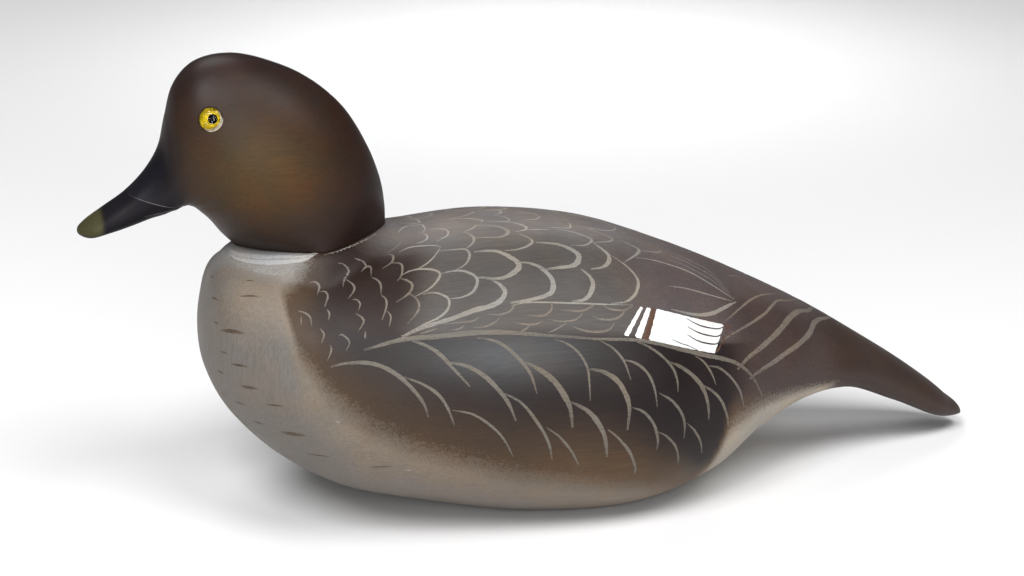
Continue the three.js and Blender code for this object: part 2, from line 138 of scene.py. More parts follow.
def ribs_at(ribs, places):
    """The ribs at places counted in ribs. An end without width is rounded."""
    ribs = np.array(ribs, float)
    slopes = slopes_of(ribs)
    for end in (0, -1):
        if ribs[end, HALF_WIDTH_COLUMN] == 0:
            slopes[end] *= END_FULLNESS
            slopes[end, X_COLUMNS] = 0
    return smooth_rows(ribs, slopes, places)


def outlines(ribs, angles, side=-1):
    """The points round each rib at the given angles, as an array of rib, angle and x y z."""
    inner_x, inner_z, outer_x, outer_z, half, widest, above, below = ribs.T[..., None]
    rise = np.cos(angles)[None, :]
    swing = np.sin(angles)[None, :]
    power = 2 / np.where(rise >= 0, above, below)
    reach = np.sign(rise) * np.abs(rise) ** power
    share = np.where(rise >= 0, widest + (1 - widest) * reach, widest * (1 + reach))
    across = side * half * np.sign(swing) * np.abs(swing) ** power
    along = inner_x + (outer_x - inner_x) * share
    return np.stack([along, across, inner_z + (outer_z - inner_z) * share], -1)


def smooth_step(values, low, high):
    """0 up to low and 1 from high, with a smooth rise between."""
    share = np.clip((values - low) / (high - low), 0, 1)
    return share * share * (3 - 2 * share)


def fade(values, low, high):
    """1 up to low and 0 from high, with a smooth fall between."""
    return 1 - smooth_step(values, low, high)


def seat_z(x):
    """The height of the flat neck seat."""
    share = (x - SEAT_FRONT[0]) / (SEAT_REAR[0] - SEAT_FRONT[0])
    return SEAT_FRONT[1] + (SEAT_REAR[1] - SEAT_FRONT[1]) * share


def out_from_seat(x, y):
    """1 on the outline of the neck seat, less inside it."""
    middle = (SEAT_FRONT[0] + SEAT_REAR[0]) / 2
    half_length = (SEAT_REAR[0] - SEAT_FRONT[0]) / 2
    along = np.abs(x - middle) / half_length
    across = np.abs(y) / SEAT_HALF_WIDTH
    return (along**SEAT_POINTED + across**SEAT_POINTED) ** (1 / SEAT_POINTED)


def shape_hull(points, angles):
    """Raises the back to the flat neck seat, and flattens the bottom on the floor."""
    above = np.cos(angles) > 0
    x, y, z = (points[:, above, k] for k in range(3))
    blend = fade(out_from_seat(x, y), 1, 1 + SEAT_FAIRING)
    points[:, above, 2] = z + (seat_z(x) - z) * blend
    points[..., 2] = np.maximum(points[..., 2], 0)
    return points


SKIN_START_X = -142.75                # just behind the tip of the breast
SKIN_STEP = 0.25
SKIN_RIBS = 1600                      # how many ribs the skin is sampled from
BATCH = 8000                          # how many points are looked up at once


class Skin:
    """The surface of the body, looked up by x and the angle round it, in whole degrees."""

    def __init__(self, ribs, shape):
        self.x = np.arange(SKIN_START_X, TAIL_X, SKIN_STEP)
        self.angle = np.arange(181.0)
        turns = np.radians(self.angle)
        places = np.linspace(0, len(ribs) - 1, SKIN_RIBS)
        points = shape(outlines(ribs_at(ribs, places), turns), turns)
        self.points = np.empty((len(self.angle), len(self.x), 3))
        for row in range(len(self.angle)):
            order = np.argsort(points[:, row, 0])
            for k in range(3):
                self.points[row, :, k] = np.interp(self.x, points[order, row, 0], points[order, row, k])
        along = np.gradient(self.points, axis=1)
        around = np.gradient(self.points, axis=0)
        normals = np.cross(around, along)
        self.normals = normals / np.maximum(np.linalg.norm(normals, axis=-1, keepdims=True), 1e-9)

    def look_up(self, table, x, angle):
        """Values between the table's rows and columns; an angle under 0 is over the ridge."""
        over = angle < 0
        column = np.clip((x - self.x[0]) / SKIN_STEP, 0, len(self.x) - 1.001)
        row = np.clip(np.abs(angle), 0, len(self.angle) - 1.001)
        i, j = row.astype(int), column.astype(int)
        u, v = (row - i)[:, None], (column - j)[:, None]
        value = (table[i, j] * (1 - u) * (1 - v) + table[i + 1, j] * u * (1 - v)
                 + table[i, j + 1] * (1 - u) * v + table[i + 1, j + 1] * u * v)
        value[over, 1] *= -1
        return value

    def angle_of(self, points):
        """The angle round the body of points in millimetres that lie on it."""
        column = ((points[:, 0] - self.x[0]) / SKIN_STEP).round().astype(int)
        column = np.clip(column, 0, len(self.x) - 1)
        angles = np.empty(len(points))
        for start in range(0, len(points), BATCH):
            part = slice(start, start + BATCH)
            rows = self.points[:, column[part]]
            gap = np.hypot(rows[..., 1] + np.abs(points[part, 1]), rows[..., 2] - points[part, 2])
            angles[part] = self.angle[np.argmin(gap, axis=0)]
        return angles


hull = Skin(BODY_RIBS, shape_hull)


def mesh_object(name, vertices, faces):
    """A smooth mesh object from points in millimetres."""
    mesh = bpy.data.meshes.new(name)
    mesh.from_pydata((np.asarray(vertices) * MM).tolist(), [], faces)
    mesh.validate()
    mesh.polygons.foreach_set("use_smooth", [True] * len(mesh.polygons))
    piece = bpy.data.objects.new(name, mesh)
    bpy.context.scene.collection.objects.link(piece)
    return piece


def ring_faces(count, sides, start=0, closed=False, flip=False):
    """Faces between rings of points, one ring after the other."""
    faces = []
    for ring in range(count if closed else count - 1):
        low, high = start + ring * sides, start + (ring + 1) % count * sides
        for a in range(sides):
            b = (a + 1) % sides
            face = (low + a, low + b, high + b, high + a)
            faces.append(face[:1] + face[:0:-1] if flip else face)
    return faces


def face_outwards(piece):
    shape = bmesh.new()
    shape.from_mesh(piece.data)
    bmesh.ops.recalc_face_normals(shape, faces=shape.faces)
    shape.to_mesh(piece.data)
    shape.free()


def twin(piece, name):
    """A copy of a piece, with a mesh of its own."""
    other = piece.copy()
    other.data = piece.data.copy()
    other.name = name
    bpy.context.scene.collection.objects.link(other)
    return other


def carved_form(name, ribs, per_rib, sides, side, shape=None):
    """A closed fine form through the ribs, with a flat or rounded start and a rounded end."""
    steps = (len(ribs) - 1) * per_rib
    angles = np.linspace(0, 2 * np.pi, sides, endpoint=False)
    rings = outlines(ribs_at(ribs, np.arange(steps + 1) / per_rib), angles, side)
    if shape:
        rings = shape(rings, angles)
    round_start = ribs[0][HALF_WIDTH_COLUMN] == 0
    start = rings[0].mean(axis=0)
    body = rings[1:-1] if round_start else rings[:-1]
    vertices = np.vstack([start[None], body.reshape(-1, 3), rings[-1, :1]])
    last = len(vertices) - 1
    turn = [(a, (a + 1) % sides) for a in range(sides)]
    faces = [(0, 1 + a, 1 + b) for a, b in turn]
    faces += ring_faces(len(body), sides, start=1, flip=True)
    faces += [(last - sides + a, last, last - sides + b) for a, b in turn]
    return mesh_object(name, vertices, faces)


# ------------------------------------------------------------------ cutting

def solid_block(x0, x1, half_width, z0, z1):
    corners = [(x, y, z) for x in (x0, x1) for y in (-half_width, half_width) for z in (z0, z1)]
    faces = [(0, 1, 3, 2), (4, 6, 7, 5), (0, 4, 5, 1), (2, 3, 7, 6), (0, 2, 6, 4), (1, 5, 7, 3)]
    return mesh_object("cutter", corners, faces)


def turned_form(name, profile, sides=48):
    """A closed solid of revolution round Z from radius and z points that start and end on the axis."""
    rim = profile[1:-1]
    turn = np.linspace(0, 2 * np.pi, sides, endpoint=False)
    vertices = [(0, 0, profile[0][1])]
    for radius, z in rim:
        vertices += [(radius * math.cos(t), radius * math.sin(t), z) for t in turn]
    vertices.append((0, 0, profile[-1][1]))
    last = len(vertices) - 1
    faces = ring_faces(len(rim), sides, start=1)
    for a in range(sides):
        b = (a + 1) % sides
        faces += [(0, 1 + b, 1 + a), (last - sides + a, last - sides + b, last)]
    return mesh_object(name, vertices, faces)


def cut(piece, cutters, operation="DIFFERENCE"):
    """Cuts the cutters out of a piece, or keeps only what lies in them, and uses them up."""
    for cutter in cutters:
        modifier = piece.modifiers.new("cut", "BOOLEAN")
        modifier.operation = operation
        modifier.solver = "EXACT"
        modifier.object = cutter
    graph = bpy.context.evaluated_depsgraph_get()
    made = bpy.data.meshes.new_from_object(piece.evaluated_get(graph))
    piece.modifiers.clear()
    piece.data = made
    made.materials.clear()
    made.set_sharp_from_angle(angle=SHARP_ANGLE)
    for cutter in cutters:
        bpy.data.objects.remove(cutter)
    return piece


# ------------------------------------------------------------------ paint

def srgb(red, green, blue):
    """Linear colour from 0 to 255 values."""
    values = np.array([red, green, blue]) / 255
    return np.where(values <= 0.04045, values / 12.92, ((values + 0.055) / 1.055) ** 2.4)


def set_layers(mesh, paint, under, cover):
    """Stores the paint's colours and its cover on the points of a mesh."""
    for name, colours in (("paint", paint), ("under", under)):
        rgba = np.ones((len(colours), 4), np.float32)
        rgba[:, :3] = colours
        mesh.attributes.new(name, "FLOAT_COLOR", "POINT").data.foreach_set("color", rgba.ravel())
    layer = mesh.attributes.new("cover", "FLOAT", "POINT")
    layer.data.foreach_set("value", np.asarray(cover, np.float32))


def points_of(mesh):
    """The mesh's points in millimetres."""
    flat = np.empty(len(mesh.vertices) * 3, np.float32)
    mesh.vertices.foreach_get("co", flat)
    return flat.reshape(-1, 3).astype(float) / MM


def layer_over(base, colour, cover):
    """Paint laid over a base, where cover is 0 to 1."""
    return base + (colour - base) * np.asarray(cover)[:, None]


GREY_BREAST = srgb(99, 93, 87)
GREY_BELLY = srgb(109, 101, 94)
BROWN_EDGE = srgb(60, 44, 29)
WARM_GREY = srgb(110, 98, 84)
COLLAR_GREY = srgb(128, 127, 126)
SHOULDER = srgb(30, 17, 12)
BACK = srgb(70, 66, 63)
# Painted highlight: the top of the back along its ridge is painted paler, where it catches the light.
RIDGE_HIGHLIGHT_GREY = srgb(109, 103, 100)
REAR_BACK = srgb(76, 67, 66)
# Painted sheen: a bluish grey laid high on the flank, where it catches the light.
FLANK_SHEEN_BLUE = srgb(73, 73, 73)
FLANK_DARK = srgb(24, 16, 16)
FLANK_BROWN = srgb(77, 58, 39)
RUMP = srgb(58, 47, 44)
TAIL_BROWN = srgb(52, 40, 35)
CREAM = srgb(147, 138, 125)
BARE_WOOD = srgb(196, 160, 112)
IRIS_YELLOW = srgb(214, 186, 14)
IRIS_OLIVE = srgb(160, 134, 8)
EYE_CRESCENT = srgb(190, 180, 158)
PUPIL_BLACK = (0.004, 0.003, 0.003)
GLASS_IOR = 1.18                      # low, so that the thick lens hardly shifts what lies behind it

# Where the dark plumage of the back and flank ends: x and angle of its lower edge from the neck to the
# rump, then angle and x of its front edge.
DARK_EDGE = [(-118, 26), (-113, 66), (-104, 81), (-90, 91), (-75, 97), (-60, 101), (-40, 106), (-10, 110),
             (15, 116), (30, 124), (42, 132), (48, 124), (54, 96), (58, 92), (70, 90), (90, 93), (110, 97)]
FRONT_EDGE = [(24, -101), (30, -104), (38, -112), (50, -119), (70, -119)]


def ground_colour(x, angle, outside):
    """The pale ground, which glows warm just outside the dark plumage and whitens under the neck."""
    ground = layer_over(np.tile(GREY_BREAST, (len(x), 1)), GREY_BELLY, smooth_step(x, -120, -40))
    ground = layer_over(ground, WARM_GREY, 0.7 * fade(outside, 2, 42))
    ground = layer_over(ground, CREAM, smooth_step(x, 40, 56) * smooth_step(angle, 80, 95))
    across = hull.look_up(hull.points, x, angle)[:, 1]
    collar = fade(out_from_seat(x, across), 1.02, 1.5) * fade(angle, 50, 80)
    return layer_over(ground, COLLAR_GREY, 0.8 * collar * fade(x, -104, -94))


def plumage_colour(x, angle, front, below):
    """The dark plumage, from how far it lies behind its front edge and below its lower edge, with a painted
    highlight on the ridge and a painted sheen on the flank.
    """
    flank = smooth_step(x - front, 2, 22)
    flank *= fade(below + 4 * smooth_step(x, -40, 10), -12 - 20 * fade(x, 30, 52), 0)
    # painted sheen: a bluish highlight high on the flank
    painted_sheen = np.exp(-((x + 36) / 32) ** 2 - ((angle - 63) / 8) ** 2)
    back = fade(angle, 53, 58)
    plumage = np.tile(BROWN_EDGE, (len(x), 1))
    for colour, cover in (
            (FLANK_BROWN, smooth_step(x, -60, 0)),
            (FLANK_DARK, flank),
            # painted sheen high on the flank
            (FLANK_SHEEN_BLUE, 0.8 * painted_sheen),
            (SHOULDER, back * smooth_step(x, -112, -92)),
            (BACK, back * smooth_step(x + 0.4 * (angle - 40), -74, -58)),
            (REAR_BACK, back * smooth_step(x, 0, 40)),
            # painted highlight along the ridge of the back
            (RIDGE_HIGHLIGHT_GREY, 0.8 * fade(angle, 6, 26) * smooth_step(x, -92, -72) * fade(x, 10, 70)),
            (RUMP, smooth_step(x, 50, 74) * smooth_step(angle, 10, 40)),
            (TAIL_BROWN, smooth_step(x, 104, 122))):
        plumage = layer_over(plumage, colour, cover)
    return plumage


def hull_layers(x, angle):
    """The pale ground, the dark plumage and how far it covers the ground, from 0 to 1."""
    front = np.interp(angle, *zip(*FRONT_EDGE))
    below = angle - np.interp(x, *zip(*DARK_EDGE))
    ground = ground_colour(x, angle, np.maximum(front - x, below))
    cover = smooth_step(x, front - 12, front + 7) * fade(below, -16, 16)
    tail = smooth_step(x, 104, 120)
    return ground, plumage_colour(x, angle, front, below), np.maximum(cover, tail)


def hull_colour(x, angle):
    return layer_over(*hull_layers(x, angle))


BLACK_BILL = srgb(12, 9, 15)
HEAD_DARK = srgb(33, 20, 17)
HEAD_CHEEK = srgb(60, 42, 16)
HEAD_OCHRE = srgb(62, 36, 8)
BILL_OLIVE = srgb(60, 58, 36)


def head_colour(points):
    x, _, z = points.T
    colour = np.tile(HEAD_DARK, (len(x), 1))
    cheek = np.exp(-((x + 121) / 24) ** 2 - ((z - 143) / 20) ** 2)
    colour = layer_over(colour, HEAD_CHEEK, np.clip(1.15 * cheek, 0, 1))
    ochre = np.exp(-((x + 113) / 12) ** 2 - ((z - 134) / 10) ** 2)
    colour = layer_over(colour, HEAD_OCHRE, 0.6 * ochre)
    # The black of the bill runs up the face in front of a line that leans back as it goes down.
    face = -152 + 0.25 * (150 - z)
    return layer_over(colour, BLACK_BILL, fade(x, face - 6, face + 6))


def bill_colour(points):
    """Black, with an olive tip."""
    x, _, z = points.T
    colour = np.tile(BLACK_BILL, (len(x), 1))
    olive = fade(x, -179.5, -177.3) * smooth_step(z, 116.8, 118.6)
    return layer_over(colour, BILL_OLIVE, 0.85 * olive)


# ------------------------------------------------------------------ materials

NOISE_ROUGHNESS = 0.55
NOISE_RANGE = (0.3, 0.7)              # where most values of a noise lie


class Nodes:
    """Builds a node material step by step."""

    def __init__(self, name):
        self.material = bpy.data.materials.new(name)
        self.material.use_nodes = True
        self.tree = self.material.node_tree
        self.shader = self.tree.nodes["Principled BSDF"]

    def feed(self, inputs, values):
        """Sets each input to a number, a vector or a colour, or links it to another node's output."""
        for key, value in values.items():
            socket = inputs[key]
            if isinstance(value, (int, float)):
                socket.default_value = value
            elif isinstance(value, (tuple, np.ndarray)):
                socket.default_value = (*value, 1.0)[:len(socket.default_value)]
            elif value is not None:
                self.tree.links.new(value, socket)

    def add(self, kind, values, output=0, **settings):
        """Adds a node, feeds it and gives one of its outputs."""
        node = self.tree.nodes.new(kind)
        for key, value in settings.items():
            setattr(node, key, value)
        self.feed(node.inputs, values)
        return node.outputs[output]

    def attribute(self, name, output="Color"):
        return self.add("ShaderNodeAttribute", {}, output, attribute_name=name)

    def place(self):
        return self.add("ShaderNodeTexCoord", {}, "Object")

    def stretched(self, scale, rotation=(0, 0, 0)):
        """Texture coordinates in millimetres, stretched by scale."""
        values = {"Vector": self.place(), "Scale": tuple(value / MM for value in scale), "Rotation": rotation}
        return self.add("ShaderNodeMapping", values)

    def noise(self, scale, detail, rotation=(0, 0, 0)):
        """Noise that changes scale times in a millimetre."""
        values = {"Vector": self.stretched(scale, rotation), "Scale": 1.0, "Detail": float(detail)}
        return self.add("ShaderNodeTexNoise", {**values, "Roughness": NOISE_ROUGHNESS}, "Fac")

    def x_of(self, vector):
        return self.add("ShaderNodeSeparateXYZ", {0: vector}, "X")

    def blended(self, factor, first, second):
        """A value that goes from first to second as factor goes from 0 to 1."""
        return self.add("ShaderNodeMix", {0: factor, 2: first, 3: second}, data_type="FLOAT")

    def mixed(self, factor, first, second, blend="MIX"):
        """A colour that goes from first to second as factor goes from 0 to 1."""
        values = {0: factor, 6: first, 7: second}
        return self.add("ShaderNodeMix", values, 2, data_type="RGBA", blend_type=blend)

    def shaded(self, colour, red, green, blue):
        """A colour whose channels are multiplied by values."""
        shade = self.add("ShaderNodeCombineColor", {"Red": red, "Green": green, "Blue": blue})
        return self.mixed(1.0, colour, shade, "MULTIPLY")

    def ranged(self, value, low, high, to_low=0.0, to_high=1.0):
        values = {"Value": value, "From Min": low, "From Max": high, "To Min": to_low, "To Max": to_high}
        return self.add("ShaderNodeMapRange", values)

    def spread(self, noise, low, high):
        """Noise spread from low to high over the range it mostly lies in."""
        return self.ranged(noise, *NOISE_RANGE, low, high)

    def math(self, operation, first, second):
        return self.add("ShaderNodeMath", {0: first, 1: second}, operation=operation)

    def bump(self, height, distance, strength, normal=None):
        """Small relief; distance is its depth in millimetres."""
        values = {"Strength": strength, "Distance": distance * MM, "Height": height, "Normal": normal}
        return self.add("ShaderNodeBump", values)

    def finish(self, colour, roughness, normal=None, **others):
        """Feeds the shader. Others are its further inputs, by name in lower case."""
        values = {"Base Color": colour, "Roughness": roughness, "Normal": normal}
        for key, value in others.items():
            values[SHADER_INPUTS[key]] = value
        self.feed(self.shader.inputs, values)
        return self.material


SHADER_INPUTS = {"specular": "Specular IOR Level", "metallic": "Metallic", "ior": "IOR",
                 "transmission": "Transmission Weight"}
NECK_TURN = (-0.122, -0.1)            # x in metres where the brushing turns from upright to lengthwise
BRISTLE = (0.05, 1.6)                 # how fast bristle marks change along them and across them
PATCH_SCALE = (0.045,) * 3
HUE_SCALE = (0.06,) * 3
HUE_TURN = (0.5, 0.9, 0.2)            # keeps the hue from following the patches
GRAIN_SCALE = (1.1,) * 3


def oil_paint(name, gloss=0.5, streak=0.14, specular=0.22, mottle=0.04, turn=(-1, -0.9)):
    """Hand-brushed paint over carved wood: plumage dry-brushed over a ground, as the mesh's layers say.

    Streak is how far the bristles lighten and darken it, mottle how far its hue wanders, and turn the
    x in metres between which the brushing turns from upright to lengthwise.
    """
    n = Nodes(name)
    slow, fast = BRISTLE
    lengthwise = n.noise((slow, fast, fast), 3)
    upright = n.noise((fast, fast, slow * 1.2), 3)
    bristles = n.blended(n.ranged(n.x_of(n.place()), *turn, 1.0, 0.0), lengthwise, upright)
    patches = n.noise(PATCH_SCALE, 5)
    grain = n.noise(GRAIN_SCALE, 2)
    uneven = n.math("ADD", n.spread(grain, -0.2, 0.2), n.spread(bristles, -0.15, 0.15))
    cover = n.math("ADD", n.ranged(n.attribute("cover", "Fac"), 0, 1, -0.25, 1.3), uneven)
    paint = n.mixed(n.ranged(cover, 0.0, 1.0), n.attribute("under"), n.attribute("paint"))
    shade = n.math("MULTIPLY", n.spread(bristles, 1 - streak, 1 + streak),
                   n.spread(patches, 0.9, 1.1))
    shade = n.math("MULTIPLY", shade, n.spread(grain, 0.96, 1.04))
    hue = n.noise(HUE_SCALE, 2, HUE_TURN)
    red = n.math("MULTIPLY", shade, n.ranged(hue, 0.35, 0.65, 1 - mottle, 1 + mottle))
    blue = n.math("MULTIPLY", shade, n.ranged(hue, 0.35, 0.65, 1 + mottle, 1 - mottle))
    normal = n.bump(patches, 1.2, 0.15, n.bump(bristles, 0.12, 0.25))
    return n.finish(n.shaded(paint, red, shade, blue), n.spread(patches, gloss - 0.07, gloss + 0.1),
                    normal, specular=specular)


def plain_gloss(name, colour, roughness, specular=0.5):
    """A smooth finish that varies only slightly."""
    n = Nodes(name)
    clouds = n.noise((0.8, 0.8, 0.8), 3)
    colour = np.array(colour)
    return n.finish(n.mixed(n.spread(clouds, 0.0, 1.0), 0.85 * colour, colour),
                    n.spread(clouds, roughness - 0.05, roughness + 0.05), specular=specular)


def iris_paint():
    n = Nodes("iris_paint")
    rays = n.noise((1.6, 1.6, 1.6), 2)
    return n.finish(n.mixed(n.ranged(rays, 0.35, 0.65), IRIS_YELLOW, IRIS_OLIVE), 0.4, specular=0.2)


def clear_glass():
    n = Nodes("clear_glass")
    smears = n.noise((0.5, 0.5, 0.5), 2)
    return n.finish((1.0, 1.0, 1.0), n.spread(smears, 0.0, 0.03), transmission=1.0, ior=GLASS_IOR)


def metal(name, colour, dark, roughness):
    """Metal dulled in patches, with fine scratches."""
    n = Nodes(name)
    patches = n.noise((0.35, 0.35, 0.35), 4)
    scratches = n.noise((0.4, 0.4, 4), 2)
    gloss = n.spread(patches, roughness - 0.08, roughness + 0.15)
    return n.finish(n.mixed(n.ranged(patches, 0.38, 0.62), colour, dark), gloss, n.bump(scratches, 0.03, 0.4),
                    metallic=1.0)


def bare_wood():
    n = Nodes("bare_wood")
    rings = n.noise((0.9, 0.9, 0.06), 3)
    colour = n.mixed(n.ranged(rings, 0.35, 0.65), BARE_WOOD, BARE_WOOD * 0.72)
    return n.finish(colour, 0.7, n.bump(rings, 0.1, 0.4))


# ------------------------------------------------------------------ painted feather edges

# A stroke is its greatest width in millimetres, then x and angle of each place it passes through.
# All are on the left side, and are painted the same on the right.
SHOULDER_HOOKS = [
    (1.0, -105, 34, -103, 34, -101.6, 35.4, -103, 39.4),
    (1.0, -101.7, 37.8, -99.8, 37.7, -99.2, 40, -100.4, 43, -101.2, 45),
    (0.9, -100.6, 46, -99.9, 47.7, -100.6, 50.8),
    (0.9, -111, 47.4, -108.8, 48, -107, 50, -107, 54),
    (0.6, -110.2, 49.6, -110.7, 53.8),
    (0.9, -104.2, 54.6, -103, 57, -104.4, 60.8),
    (0.8, -101.3, 61, -101.2, 63.5, -103, 67.7),
    (0.8, -97.7, 57, -96.5, 56.5, -94.2, 59.2, -96, 63),
    (1.0, -93.2, 28.2, -91, 27.6, -89.4, 28.6, -91.8, 32, -93, 35.6),
    (1.1, -91, 32, -89, 34.6, -89.2, 37.3, -92, 41),
    (0.9, -90.8, 41.5, -89, 41.5, -88, 43.5, -89.4, 46.5),
    (1.0, -90.4, 47.5, -88.5, 49, -88, 51, -90.6, 54.8),
    (0.8, -88, 54.6, -88.5, 57.7),
    (1.1, -86.4, 24, -83, 23.6, -81.8, 26),
    (1.1, -84.8, 28.3, -82.3, 25.8, -80.6, 26.2, -81.5, 30.6),
    (1.2, -81.5, 31.2, -79.6, 32.7, -78.8, 35, -79.6, 39.2),
    (1.1, -79.6, 39.6, -78.2, 41.5, -78.8, 45, -81.2, 50),
    (0.9, -78.7, 46.2, -77.7, 48.5, -79, 52.7),
    (1.2, -72.5, 19.5, -70.8, 20.5, -72, 24, -76.6, 27.3),
    (1.2, -72.7, 24.6, -69.6, 24.8, -68.7, 26.5, -70, 30.8, -72.3, 33.5),
    (1.4, -71, 32.5, -68.8, 33.3, -67, 35.4, -69, 39, -74.6, 42.7),
    (1.2, -69.2, 39.2, -67, 41.2, -66.3, 43.8, -67.7, 47, -72, 51.2),
    (1.0, -69.4, 12, -66, 11.3, -66.3, 13.8, -73.8, 20),
]
SCAPULAR_EDGES = [
    (0.9, -65, 7, -62.8, 3.8, -59.4, 1.2, -54, 1, -53.4, 2.5, -54, 6, -57, 7.8),
    (0.9, -55.6, 7.8, -54.4, 10, -55.6, 12.8, -60, 14.7),
    (1.0, -53, 5.6, -48, 6.6, -45.8, 8.8, -47, 12, -52, 14.7),
    (1.1, -68, 18.8, -64, 16.8, -60, 16.2, -54, 16.8, -51.5, 18.3),
    (0.9, -51.5, 18.3, -55, 22.5, -59, 26, -63.5, 28.5),
    (1.2, -53, 20, -47, 20.6, -43, 21, -41.8, 23, -42.5, 25.5, -45, 28.5, -50, 30.8),
    (1.3, -70, 30.8, -66, 29, -62, 28.5, -57.5, 29.3, -55.5, 31.2, -57, 34, -61, 37.5, -67, 40.5),
    (1.5, -55.5, 31.5, -51, 30.8, -46.5, 31.2, -42.8, 33.8, -42.5, 36.5, -45, 40, -49.5, 41.8, -54, 42),
    (1.2, -64, 39.7, -60, 39.2, -57, 40.2, -54.8, 42.3, -56, 46, -60, 49, -66, 51.5, -75, 56),
    (2.9, -40, 23, -33, 23.3, -29, 25, -24.7, 29.3, -25.3, 32, -29, 34.5, -34, 35.8, -42, 34.5),
    (2.6, -37, 36, -34.5, 38, -33, 41, -35.5, 44.2, -40, 46, -46, 47, -55, 49.5, -66, 52.5, -75, 56.5),
    (2.5, -25, 29.2, -20, 29.8, -16, 32, -13.3, 36.5, -14.5, 41, -18, 43, -25, 44.6, -32, 45.3),
    (2.9, -14, 19.5, -8, 19.6, -3, 20.8, 1.2, 24.3, 0, 28, -3, 30.3, -9, 31.5, -15, 32.5),
    (2.3, 0, 31.5, 2.5, 34.5, 2.8, 37.5, 0.5, 41.5, -3, 44, -8, 44.8),
    (1.9, -34, 7.5, -27, 9, -24, 10.8, -22.8, 13, -25, 15.5, -29, 16.4, -37, 15.3),
    (1.3, -40.5, 11, -38.3, 13, -37.5, 15.5, -39, 18.5, -42.5, 21),
    (1.4, -19.5, 14, -16, 17, -15.2, 19, -18, 21.5, -23, 23.3, -28, 23.7),
    (1.3, -29, 5.3, -19, 6.5, -14.5, 9.5, -15.5, 11.8, -20, 13.3),
    (0.9, -14.5, 11.7, -5, 11),
    (1.4, -4, 10, 2, 10.8, 7, 12.5, 10.5, 15, 9.5, 17, 6, 19.3, 0, 20.1),
    (2.2, 10.5, 17, 13, 20.5, 14.4, 23.5, 13, 27, 9.5, 29.8, 4, 31.3),
    (1.6, 16, 23.5, 20, 27.5, 22.2, 31, 22.8, 34.5, 20.5, 39, 18, 41.5, 14, 43.8, 8, 44.7),
    (1.2, 10, 7, 15, 8.5, 20.5, 12, 18.5, 14.5, 15, 15.8, 10.5, 17),
    (1.6, 24, 12, 28, 13.8, 30.5, 15.5, 29.5, 18, 26, 21.5, 20, 26),
    (0.8, 31, 16.3, 36, 15, 40, 13.5, 42.8, 11.2),
    (0.9, -42, 0, -36, 1, -31, 3.5, -30, 4.5, -32, 6),
    (0.8, -33.5, 7, -36, 9.5, -40, 11),
    (0.9, -24, 0, -20.5, 1.5, -19, 4, -20.5, 5.5, -29, 5.3),
    (0.8, -13, 4, -8, 3.5, -5.5, 1.5, -4.5, 0),
    (0.9, -5, 9.5, 3.5, 8.8, 5.5, 6.5, 6, 4),
    (0.9, 8, 6, 18, 6.5, 24, 4.5, 28, 0),
    (0.9, -32, 46.3, -25, 45.4, -10, 45.4, 5, 45.2, 17, 44.7),
]
TERTIAL_EDGES = [
    (1.2, 26.5, 22, 33, 21, 40, 20.8, 48, 21.5, 53, 23.3, 58, 26.5, 63, 30, 67.5, 33.5),
    (0.9, 36, 34, 44, 33.2, 52, 33.6, 60, 34.4, 66, 35),
    (2.1, 34, 44.5, 42, 45.3, 48, 45, 54, 43.3, 60, 40, 64, 37.5, 68, 35),
]
TERTIAL_FRINGE = 3
COVERTS = [
    (1.1, -41.5, 48.8, -37, 49.3, -33, 48.3, -31, 46.5, -30.5, 45),
    (1.1, -26.5, 50, -21, 50.2, -18, 49, -16.5, 47.5, -16, 45.5),
    (1.1, -13, 48, -6, 48.2, -3, 47.5, 0, 46, 0.5, 45),
    (1.2, 4, 45.5, 7, 46.8, 12, 47, 15, 46, 17, 45),
    (0.9, -60, 51.5, -51, 51, -47, 50.7, -45.5, 49.5),
    (0.9, -48, 53.3, -43, 53, -39.5, 51.8, -37, 50),
    (1.0, -33, 52, -28, 53, -24, 53, -21, 51.8),
    (0.9, -19, 51.3, -14, 52, -9, 51.5, -6, 50, -4.5, 48.5),
    (1.2, -1, 49.8, 3, 50.8, 8, 50.3, 11.5, 48.5, 13, 46.8),
    (1.2, -10, 53.5, -5, 55, 1, 55, 5, 54, 7.5, 51.5),
    (0.8, -20, 56, -16, 54.5, -12, 52.5),
    (0.8, -31, 55.5, -28, 54.5, -26.5, 53.3),
    (0.9, -57, 53.8, -53, 53.3, -51, 52),
    (0.9, -68, 55, -64, 53.8, -61, 52.7),
]
